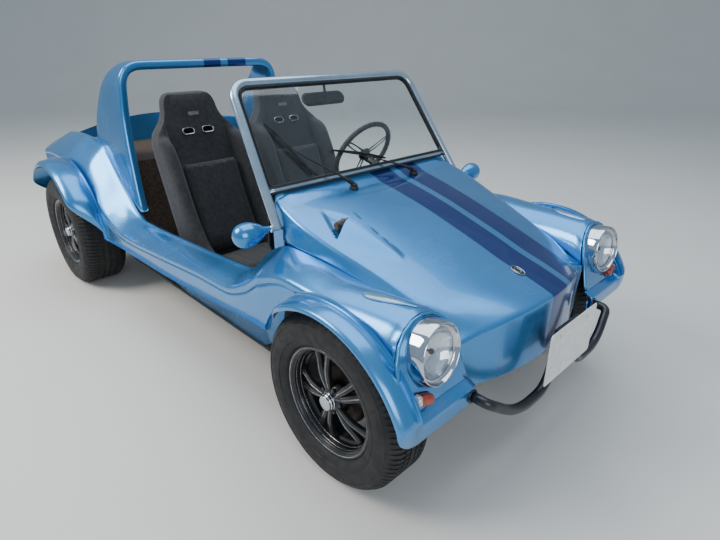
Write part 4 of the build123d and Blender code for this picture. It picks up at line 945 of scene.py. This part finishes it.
halves = [seat_half(u) for u in places]
loops = [np.concatenate([h, (h * (-1, 1, 1))[-2:0:-1]]) + (seat_x, 0, 0) for h in halves]
n_loop, n_half = len(loops[0]), len(halves[0])
shell = Shape()
for i in range(len(loops) - 1):
    in_slot = places[i] >= slot_rows[0] and places[i + 1] <= slot_rows[1]
    for j in range(n_loop):
        k = (j + 1) % n_loop
        xs = abs(loops[i][j][0] - seat_x), abs(loops[i][k][0] - seat_x)
        face_side = j < 9 or j >= n_loop - 9 or n_half - 6 <= j < n_half + 5
        if in_slot and face_side and min(xs) > .0285 and max(xs) < .0815:
            continue
        wing_part = 8 < j < 20 or n_loop - 20 <= j < n_loop - 9
        quad = [loops[i][j], loops[i][k], loops[i + 1][k], loops[i + 1][j]]
        shell.add(quad, [(0, 1, 2, 3)], int(wing_part))
shell.cap(loops[0][::-1]).cap(loops[-1])
low, high = places.index(slot_rows[0]), places.index(slot_rows[1])
slot_rings = Shape()
front_y, back_y = [[float(loops[k][j][1]) for k in (low, high)] for j in (2, n_half - 2)]
for way in (-1, 1):
    x0, x1 = seat_x + way * .029, seat_x + way * .081
    shell.grid([[(x, ys[k], (1.004, 1.026)[k]) for x, k in ((x0, 0), (x1, 0), (x1, 1), (x0, 1))]
                for ys in (front_y, back_y)], wrap_cols=True, slot=2)
    mid = np.array([(x0 + x1) / 2, sum(front_y) / 2 - .0035, 1.015])
    up_face = unit([0, front_y[1] - front_y[0], .022])
    slot_rings.tube(capsule(mid, X, up_face, .062, .03), .0042, 8, closed=True, flat=.7)
patch = Shape()
patch_rows = []
for z in np.linspace(1.086, 1.106, 5):
    k = int(np.abs(np.array([l[0][2] for l in loops]) - z + (np.arange(len(loops)) < high) * 9).argmin())
    patch_rows.append([(seat_x + x, float(loops[k][0][1]) - .0016 + .3 * x * x, z)
                       for x in np.linspace(-.03, .03, 7)])
patch.grid(patch_rows)


def pad(name, points):
    """Stuffed pad: a rounded block swollen by cloth simulation, then sewn into channels."""
    swell, sewn = .008, .0045  # how far the cloth may move out, and how deep and wide a channel is
    points = np.array(points) / 1000
    center = points.mean(0)
    outline = [center + (p - center) * (1 - .009 / norm(p - center)) for p in points]
    outline = rounded([*outline, outline[0]], [0] + [.018] * (len(outline) - 1) + [0], 5)[:-1]
    start = Shape()
    xs = np.array([-.152, -.156, -.156, -.15, -.1, -.05, 0, .05, .1, .15, .156, .156, .152]) + seat_x
    scale = [0, .8, .93, 1, 1, 1, 1, 1, 1, 1, .93, .8, 0]
    start.grid([[(x, *((F, 0) + (center + (p - center) * s))) for p in outline] for x, s in zip(xs, scale)],
               wrap_cols=True)
    obj = start.make(name, cloth, slot="seat_fabric")
    bpy.context.view_layer.update()
    obj.modifiers.clear()
    obj.modifiers.new("weld", "WELD")
    remesh = obj.modifiers.new("remesh", "REMESH")
    remesh.mode, remesh.voxel_size = "VOXEL", .006
    mesh = bpy.data.meshes.new_from_object(obj.evaluated_get(bpy.context.evaluated_depsgraph_get()))
    obj.modifiers.clear()
    obj.data = mesh
    before = np.empty(len(mesh.vertices) * 3)
    mesh.vertices.foreach_get("co", before)
    before = before.reshape(-1, 3)
    after = before.copy()
    cloth_mod = obj.modifiers.new("cloth", "CLOTH")
    cloth_mod.settings.use_pressure = True
    cloth_mod.settings.uniform_pressure_force = 4
    cloth_mod.settings.effector_weights.gravity = 0
    cloth_mod.point_cache.frame_end = 20
    for frame_number in range(1, 21):
        scene.frame_set(frame_number)
    result = obj.evaluated_get(bpy.context.evaluated_depsgraph_get()).to_mesh()
    result.vertices.foreach_get("co", after.reshape(-1))
    obj.modifiers.clear()
    scene.frame_set(1)
    move = after - before
    reach = np.linalg.norm(move, axis=1)[:, None]
    after = before + move * np.minimum(1, swell / np.maximum(reach, 1e-9))
    for line in (-.078, .078):
        near = np.exp(-((after[:, 0] - seat_x - line) / sewn)**2)[:, None]
        middle = np.array([seat_x + line, F + center[0], center[1]])
        inward = middle - after
        inward[:, 0] = 0
        after += inward / np.maximum(np.linalg.norm(inward, axis=1), 1e-6)[:, None] * near * sewn
    shape = Shape().add(after, [tuple(p.vertices) for p in mesh.polygons])
    bpy.data.objects.remove(obj)
    return shape


# Side outlines of the pads in millimetres, y from the front axle and z
seat_pads = (
    ("cushion", pad("cushion_start", [
        (850, 395), (1185, 352), (1205, 400), (1180, 432), (1020, 450), (880, 455), (850, 432)])),
    ("squab", pad("squab_start", [
        (1258, 405), (1436, 870), (1400, 884), (1300, 660), (1232, 500), (1225, 430)])))
for hand in HANDS:
    handed(shell, hand).make("seat_cover_" + hand, [cloth, cloth_side, black_moulded],
                             replaces="seat_shell_" + hand, slot="seat_fabric", merge=2e-4)
    handed(slot_rings, hand).make("harness_slot_trim_" + hand, alloy, slot="chrome")
    woven = plain("plain_woven_patch_" + hand, (92, 92, 96), (70, 70, 74), (0.6, 0.8), 0, 60, 500, 0.5)
    handed(patch, hand).make("seat_patch_" + hand, woven, slot="seat_fabric", thickness=0.001)
    for part, shape in seat_pads:
        piece = handed(shape, hand).make(f"seat_pad_{part}_{hand}", cloth, replaces=f"seat_{part}_{hand}",
                                         slot="seat_fabric", merge=0)
        piece.modifiers.new("soft", "SUBSURF").levels = 1
        piece.modifiers["soft"].render_levels = 1

# Steering wheel, column and levers

hub = np.array([0.33, F + 0.88, 0.895])
column = np.array([0, cos(radians(28)), sin(radians(28))])
up_wheel = np.cross(column, X) * -1
wheel_ring = Shape()
at = np.linspace(0, 2 * pi, 144, endpoint=False)
path = [hub + .175 * turned(a, X, up_wheel) for a in at]
wheel_ring.tube(path, .013 + .0006 * np.cos(at * 36), 20, closed=True)  # 36 finger grips
for spoke in range(3):
    a = radians(-90 + 120 * spoke)
    e, s = turned(a, X, up_wheel), turned(a, up_wheel, -X)
    for edge in (-1, 1):
        rows = []
        for t in np.linspace(0, 1, 14):
            r, level = .022 + .146 * t, -.013 + .011 * t**2
            gap = .0045 + .004 * sin(pi * min(1, max(0, (t - .12) / .8))) if .1 <= t <= .92 else 0
            p, q = edge * gap, edge * (.0165 - .003 * t)
            rows.append([hub + r * e + x * s + (level + h) * column for x, h in (
                (p, 0), (p, .0028), (p + edge * .001, .0035), (q - edge * .001, .0035), (q, .0028), (q, 0))])
        wheel_ring.grid(rows, wrap_cols=True, slot=1)
wheel_ring.lathe([(.019, -.0596), (.024, -.056), (.025, -.03), (.033, -.018), (.034, -.012),
                  (.0345, -.008), (.032, -.0058), (.027, -.0052), (.0262, -.001), (.023, .0018),
                  (.012, .0038), (0, .0042)], hub, column, 48, slots=[1] * 7 + [2] * 4)
for k in range(6):
    screw = hub + .0305 * turned(radians(60 * k), X, up_wheel) - .0062 * column
    wheel_ring.lathe([(.0024, 0), (.0026, .0018), (0, .0022)], screw, column, 8, slot=3)
wheel_ring.make("steering_wheel_ring", [leather, black_tube, black_moulded, alloy], "steering_wheel",
                replaces="steering_wheel", slot="trim_black")

controls = Shape()
lever_z = 0.2 + 0.012 + 0.13  # top of the floor's tunnel
folds = [(.043 - .0285 * t + .0022 * cos(t * 10 * pi), .005 + .075 * t) for t in np.linspace(0, 1, 41)]
controls.lathe([(.044, 0), (.044, .004), *folds, (.0085, .082)], (0, F + .93, lever_z), (0, 0, 1), 40)
controls.lathe([(.008, .245), (.015, .25), (.0225, .258), (.0246, .27), (.024, .282), (.019, .29),
                (.01, .2946), (0, .295)], (0, F + .93, lever_z), (0, 0, 1), 32, slot=1)
grip_dir = np.array([0, cos(radians(20)), -sin(radians(20))])
grip_mid = np.array([0, F + 1.06, lever_z + .058])
for s in np.linspace(-.128, -.04, 9):
    controls.lathe([(.0165, 0), (.018, .002), (.018, .0085), (.0165, .0105)],
                   grip_mid + grip_dir * s, grip_dir, 24)
controls.lathe([(0, -.1345), (.006, -.1345), (.0065, -.13), (.0162, -.129), (.0166, -.03), (.015, -.028)],
               grip_mid, grip_dir, 24)
controls.make("lever_grips", [leather, black_moulded], slot="trim_black")

# Mirrors

mirror_shell, mirror_glass = Shape(), Shape()
profile = [(.0005, .1634)] + [(.046 * cos(a), .1174 + .046 * sin(a)) for a in np.linspace(1.52, 0, 12)]
taper = np.transpose([[.046, .0452, .0385, .0285, .0185, .0092, .008],
                      [.1174, .0974, .0754, .0534, .0374, .0114, .0004]])
profile += [*smooth([0, .02, .042, .064, .08, .11, .117], taper, np.linspace(0, .117, 22)[1:])]
mirror_root = np.array([0.5776, F + 0.433, 0.808])
mirror_shell.lathe(profile, mirror_root, X, 72)
# The shell is a turned form cut flat where the glass sits
mirror_shell.verts = [(x, min(y, mirror_root[1] + 0.016), z) for x, y, z in mirror_shell.verts]
glass_center = mirror_root + (.113, .0164, 0)
glass_radius = sqrt(.046**2 - .016**2)
glass_wide, glass_high = glass_radius + .009, glass_radius - .002
mirror_glass.grid([[glass_center + (f * glass_wide * cos(a) - .006, -.001 * f, f * glass_high * sin(a))
                    for a in np.linspace(0, 2 * pi, 48, endpoint=False)] for f in (.02, .5, .92, 1)],
                  wrap_cols=True)
bracket = Shape()
bracket.lathe([(.0095, 0), (.0105, .003), (.0105, .009), (.0085, .012), (.0082, .02)],
              mirror_root - (.002, 0, 0), X, 24)
bracket.lathe([(.0062, 0), (.0064, .006), (.0045, .0075), (0, .0078)],
              mirror_root + (.01, -.01, -.006), (.3, -1, .2), 6)
for hand in HANDS:
    handed(mirror_shell, hand).make("mirror_shell_" + hand, paint, replaces="side_mirror_" + hand,
                               slot="body_paint")
    handed(mirror_glass, hand).make("mirror_glass_" + hand, mirror_mat, slot="chrome")
    handed(bracket, hand).make("mirror_bracket_" + hand, chrome, slot="chrome")

screen_origin = np.array([0, F + 0.506, 0.924])
screen_height = hypot(0.249, 0.365)
rake = np.array([0, 0.249, 0.365]) / screen_height
screen_out = np.cross(X, rake)


def on_screen(x, up, out=0.0):
    """A place on the windshield: across it, up along it from its foot, and out from its face."""
    return screen_origin + X * x + rake * up + screen_out * out


mirror_in = Shape()
inside_center = on_screen(-.04, screen_height - .018 - .052, -.045)
layers = [(.01, -.0065), (.004, -.0068), (.0012, -.0058), (0, -.003), (0, .001), (.002, .0045), (.006, .007),
          (.013, .0084), (.024, .0088)]
mirror_in.grid([capsule(inside_center + screen_out * h, X, rake, .24 - 2 * d, .062 - 2 * d, 14)
                for d, h in layers], wrap_cols=True)
mirror_in.cap(capsule(inside_center + screen_out * .0088, X, rake, .192, .014, 14))
mirror_in.cap(capsule(inside_center - screen_out * .0064, X, rake, .222, .044, 14)[::-1], 1)
mirror_in.tube([inside_center + screen_out * .006, inside_center + screen_out * .02 + rake * .012,
                on_screen(-.04, screen_height - .03, -.012), on_screen(-.04, screen_height - .016, -.006)],
               [.0075, .006, .006, .0085], 14)
mirror_in.make("interior_mirror_shell", [black_moulded, mirror_mat], replaces="interior_mirror",
               slot="trim_black")

# Windshield trim and wipers

trim = Shape()


def side_at(up):
    """Half width of the windshield at a height along it."""
    return 0.56 - 0.056 * (up + 0.1501) / (screen_height + 0.1501)


def across_screen(shape, half, section):
    """Grid across the windshield, from a section given as height and lift."""
    shape.grid([[on_screen(x, y, o) for y, o in section] for x in np.linspace(-half, half, 25)])


foot_x, head_x = side_at(.014) - .024, side_at(screen_height) - .022
loop = rounded([(0, .0105), (-foot_x, .0105), (-head_x, screen_height - .023), (head_x, screen_height - .023),
                (foot_x, .0105), (0, .0105)], [0, .02, .056, .056, .02, 0], 10)[:-1]
for off in (.0052, -.0052):
    trim.tube([on_screen(x, y, off) for x, y in loop], .0072, 8, closed=True, flat=.75)
foot_width = side_at(0) - .016
across_screen(trim, foot_width, ((.012, .006), (.0115, .0095), (.009, .0108), (.0035, .011), (.0022, .01),
                                 (.0018, .006)))
across_screen(trim, foot_width, ((-.0105, .006), (-.0108, .0098), (-.0125, .0104), (-.0165, .01),
                                 (-.0185, .0088), (-.019, .005)))
trim.make("windshield_rubber", seal, slot="trim_black")
strip = Shape()
across_screen(strip, foot_width + .004, ((.0022, .006), (.002, .0098), (.0008, .011), (-.0092, .011),
                                         (-.0106, .0098), (-.0108, .005)))
strip.make("windshield_base_strip", silver, slot="frame_black", thickness=0.001)

for hand, pivot_x, a, b in (("right", -.160, (-.432, .267), (-.312, .025)),
                            ("left", .220, (-.165, .110), (.118, .028))):
    wiper = Shape()
    post = np.array([pivot_x, F + .43, .884])
    wiper.lathe([(.019, -.006), (.019, .001), (.0155, .005), (.0128, .0075), (.013, .0085), (.0134, .015),
                 (.0105, .0178), (.006, .0188), (0, .019)], post, (0, -.15, 1), 28)
    p, q = on_screen(*a, .012), on_screen(*b, .012)  # the blade's ends
    knee = post + (0, 0, .0125)
    run = (p + q) / 2 + screen_out * .006 - knee
    ts = np.array([0, .03, .1, .18, .19, .22, .6, .96, 1])
    arm = [knee + run * t + screen_out * (.01 * sin(pi * min(1, t * 1.6)) * (1 - t)) for t in ts]
    wiper.tube(arm, [.0095, .0098, .0086, .007, .005, .0042, .0034, .0028, .0028], 10)
    bow = [p + (q - p) * t + screen_out * (.004 + .008 * sin(pi * t)) for t in np.linspace(.12, .88, 15)]
    wiper.tube(bow, np.interp(np.linspace(0, 1, 15), [0, .5, 1], [.0022, .004, .0022]), 8)
    for lo, hi in ((0.01, .26), (.74, .99)):
        wiper.tube([p + (q - p) * t + screen_out * (.0005 + .005 * sin(pi * (t - lo) / (hi - lo)))
                    for t in np.linspace(lo, hi, 9)], .0024, 8)
    across = np.cross(unit(q - p), screen_out)
    blade = ((-.003, .0005), (.003, .0005), (.0028, -.0015), (.0008, -.0028), (.0006, -.008), (-.0006, -.008),
             (-.0008, -.0028), (-.0028, -.0015))
    wiper.grid([[p + (q - p) * t + across * x + screen_out * h for x, h in blade]
                for t in np.linspace(0, 1, 12)], wrap_cols=True, slot=1)
    wiper.make("wiper_arm_" + hand, [black_moulded, seal], replaces="wiper_" + hand, slot="trim_black")

# Dashboard dials, plate, badge

dash = Shape()


def dial_bar(spot, degrees, reach, size, slot):
    """Mark or needle on a dial: size is its length, thickness and width."""
    e = turned(radians(degrees), -X, np.array([0, 0, 1]))
    dash.block(np.array(spot) + e * reach, size, [e, Y, np.cross(e, Y)], slot)


for gauge_x in (.27, .39):
    spot = (gauge_x, F + .552 + .015, .79)
    dash.lathe([(.0485, -.02), (.0492, 0), (.048, .0042), (.0455, .005), (.0435, .003), (.043, -.002)],
               spot, Y, 64)
    dash.lathe([(.0432, -.0018), (0, -.0014)], spot, Y, 48, slot=1)
    dash.lathe([(.004, -.0014), (.0038, .001), (0, .0016)], spot, Y, 16, slot=2)
    for k in range(25):
        long = .007 if k % 4 == 0 else .0038
        dial_bar(spot - np.array([0, .0008, 0]), 225 - 270 * k / 24, .04 - long / 2, (long, .0008, .001), 2)
    dial_bar(spot + np.array([0, .0004, 0]), 160, .015, (.033, .0008, .0016), 3)
for k in range(5):
    dash.lathe([(.009, -.004), (.009, .0025), (.005, .004), (.0042, .014), (.006, .018), (0, .0195)],
               (-.1 + .05 * k, F + .56, .79), Y, 20)
dash.make("dashboard_dials", [chrome, dial_face, dial_mark, amber], slot="trim_black")

plate_y, plate_z = F - .5, .475
bar_y = plate_y + .003 + .0003 + .017  # behind the plate: its thickness, a gap and the tube's radius
half_bar = [(.44, F - .3943, .43), (.44, F - .452, .43), (.3, bar_y, .335), (.1, bar_y, .335),
            (.07, bar_y, .54)]
bar = rounded(half_bar + [(-x, y, z) for x, y, z in reversed(half_bar)],
              [0, .03, .085, .08, 0, 0, .08, .085, .03, 0], 14)
bumper = Shape().tube(bar, .017, 24)
for x in (-.44, .44):
    bumper.lathe([(.017, 0), (.0235, .0005), (.024, .003), (.023, .0045), (.0172, .005)],
                 (x, F - .3945, .43), (0, -1, 0), 32)
bumper.make("front_bumper_bar", black_tube, replaces="front_bumper", slot="frame_black")
plate = Shape()
rows = []
for d, h in ((0, .003), (0, .0004), (.0008, 0), (.005, 0), (.0062, .001), (.0075, .0012)):
    wide, high = .17 - d, .1 - d
    corners = rounded([(-wide, 0), (-wide, high), (wide, high), (wide, -high), (-wide, -high), (-wide, 0)],
                      [0, .012, .012, .012, .012, 0], 8)[:-1]
    rows.append([(x, plate_y + h, plate_z + z) for x, z in corners])
plate.grid(rows, wrap_cols=True).cap(rows[-1]).cap(rows[0][::-1])
plate.make("blank_number_plate", plate_mat, replaces="number_plate", slot="plate_white")
screws = Shape()
for x in (-.1, .1):
    screws.lathe([(.0062, 0), (.006, .0012), (.0035, .0024), (0, .0027)],
                 (x, plate_y + .0012, plate_z + .07), (0, -1, 0), 20)
screws.make("plate_screws", chrome, slot="chrome")

# The badge lies on the nose, whose centre line gives its height and slope
nose = np.array([row[np.abs(row[:, 0]).argmin()] for row in rows_of_hood])
badge_y = F - 0.262
before, badge_z, after = np.interp([badge_y - .02, badge_y, badge_y + .02], nose[:, 1], nose[:, 2])
slope = (after - before) / .04
badge_out = unit([0, -slope, 1])
badge_up = np.cross(badge_out, X)
badge_center = np.array([0, badge_y, badge_z])


def oval(scale, level):
    return [badge_center + turned(t, .02 * scale * X, .031 * scale * badge_up) + badge_out * level
            for t in np.linspace(0, 2 * pi, 56, endpoint=False)]


badge = Shape()
badge.grid([oval(*row) for row in ((1, -.001), (1, .0022), (.95, .0034), (.86, .0036), (.8, .0028),
                                   (.45, .003))], wrap_cols=True)
badge.cap(oval(.45, .003))
badge.tube(oval(.93, .0032), .0014, 8, closed=True, slot=1)
badge.tube(oval(.5, .003), .0008, 8, closed=True, slot=1)
badge.make("hood_badge_oval", [badge_mat, chrome], replaces="hood_badge", slot="badge_metal")

# Tinted teardrop lens with a painted rim, let into the top of each front fender
marker = Shape()
marker_rows = []
for t in np.linspace(0, 1, 26):
    mid = np.array([.611 - .052 * t, F - .08 - .176 * t])
    marker_half = .03 * sin(pi * t)**.5 * (1 - .72 * t) + .0004
    line = []
    for v in np.linspace(-1, 1, 15):
        x, y = mid + v * marker_half * np.array([.95, -.31])
        top = top_profile(y)
        k = int(np.argmax(top[:, 0] > .695))
        z = float(np.interp(x, top[1:k, 0], top[1:k, 1]))
        line.append((x, y, z + .001 + .0042 * (1 - v * v)**.6 * sin(pi * t)**.4))
    marker_rows.append(line)
marker.grid(marker_rows)
marker_edge = [r[0] for r in marker_rows] + [r[-1] for r in marker_rows[::-1]]
marker.tube([np.array(q) + (0, 0, .0004) for q in marker_edge[1:-1]], .0013, 6, closed=True, slot=1)
for hand in HANDS:
    handed(marker, hand).make("fender_marker_" + hand, [marker_mat, paint], slot="lamp_glass")

# Stage, light, camera

YAW, PITCH, ROLL = radians(44.06), radians(24.23), radians(-0.12)  # how the camera looks
# The floor runs away from the camera and curves up into a wall
profile = [*((y, 0) for y in np.linspace(-14, 9, 12)),
           *((9 + 5 * sin(t), 5 - 5 * cos(t)) for t in np.linspace(0, pi / 2, 12)[1:]), (14, 12)]
ground = Shape().grid([[(v * cos(YAW) + u * sin(YAW), u * cos(YAW) - v * sin(YAW), z)
                        for v in (-30, -10, 0, 10, 30)] for u, z in profile])
mesh = bpy.data.meshes.new("studio_floor")
mesh.from_pydata(ground.verts, [], [f[::-1] for f in ground.faces])
mesh.materials.append(plain("studio_floor", (212, 210, 205), (209, 207, 202), (0.75, 0.85), 0, 1, 90, 0.02))
mesh.polygons.foreach_set("use_smooth", [True] * len(mesh.polygons))
floor = place("studio_floor", mesh)

world = bpy.data.worlds.new("studio")
scene.world = world
world.use_nodes = True
world.node_tree.nodes["Background"].inputs[0].default_value = (0.66, 0.82, 1.0, 1)
world.node_tree.nodes["Background"].inputs[1].default_value = 0.55


def softbox(name, location, target, size, power, color):
    light = bpy.data.lights.new(name, "AREA")
    light.shape, light.size, light.size_y = "RECTANGLE", *size
    light.energy, light.color = power, color
    obj = place(name, light)
    obj.location = location
    obj.rotation_mode = "QUATERNION"
    obj.rotation_quaternion = (Vector(target) - Vector(location)).to_track_quat("-Z", "Y")


softbox("key", (-4.5, 2.5, 5.0), (0, 0, 0.5), (3, 3), 420, (1.0, 0.95, 0.88))
softbox("overhead", (0.5, 0.0, 5.2), (0, 0, 0), (5, 5), 215, (0.84, 0.92, 1.0))
softbox("front_fill", (-3.0, -6.0, 3.0), (0, 0, 0.5), (4, 3), 150, (0.95, 0.97, 1.0))

camera = bpy.data.cameras.new("camera")
camera.sensor_width = 36
camera.lens = 509.4 / 720 * camera.sensor_width  # focal length over picture width, in pixels
camera.clip_end = 200
cam = place("camera", camera)
ahead = Vector((sin(YAW) * cos(PITCH), cos(YAW) * cos(PITCH), -sin(PITCH)))
right = ahead.cross(Vector((0, 0, 1))).normalized()
up = right.cross(ahead)
right, up = turned(ROLL, right, up), turned(ROLL, up, -right)
rotation = Matrix((right, up, -ahead)).transposed().to_4x4()
cam.matrix_world = Matrix.Translation((-1.584, -2.326, 1.44)) @ rotation
scene.camera = cam
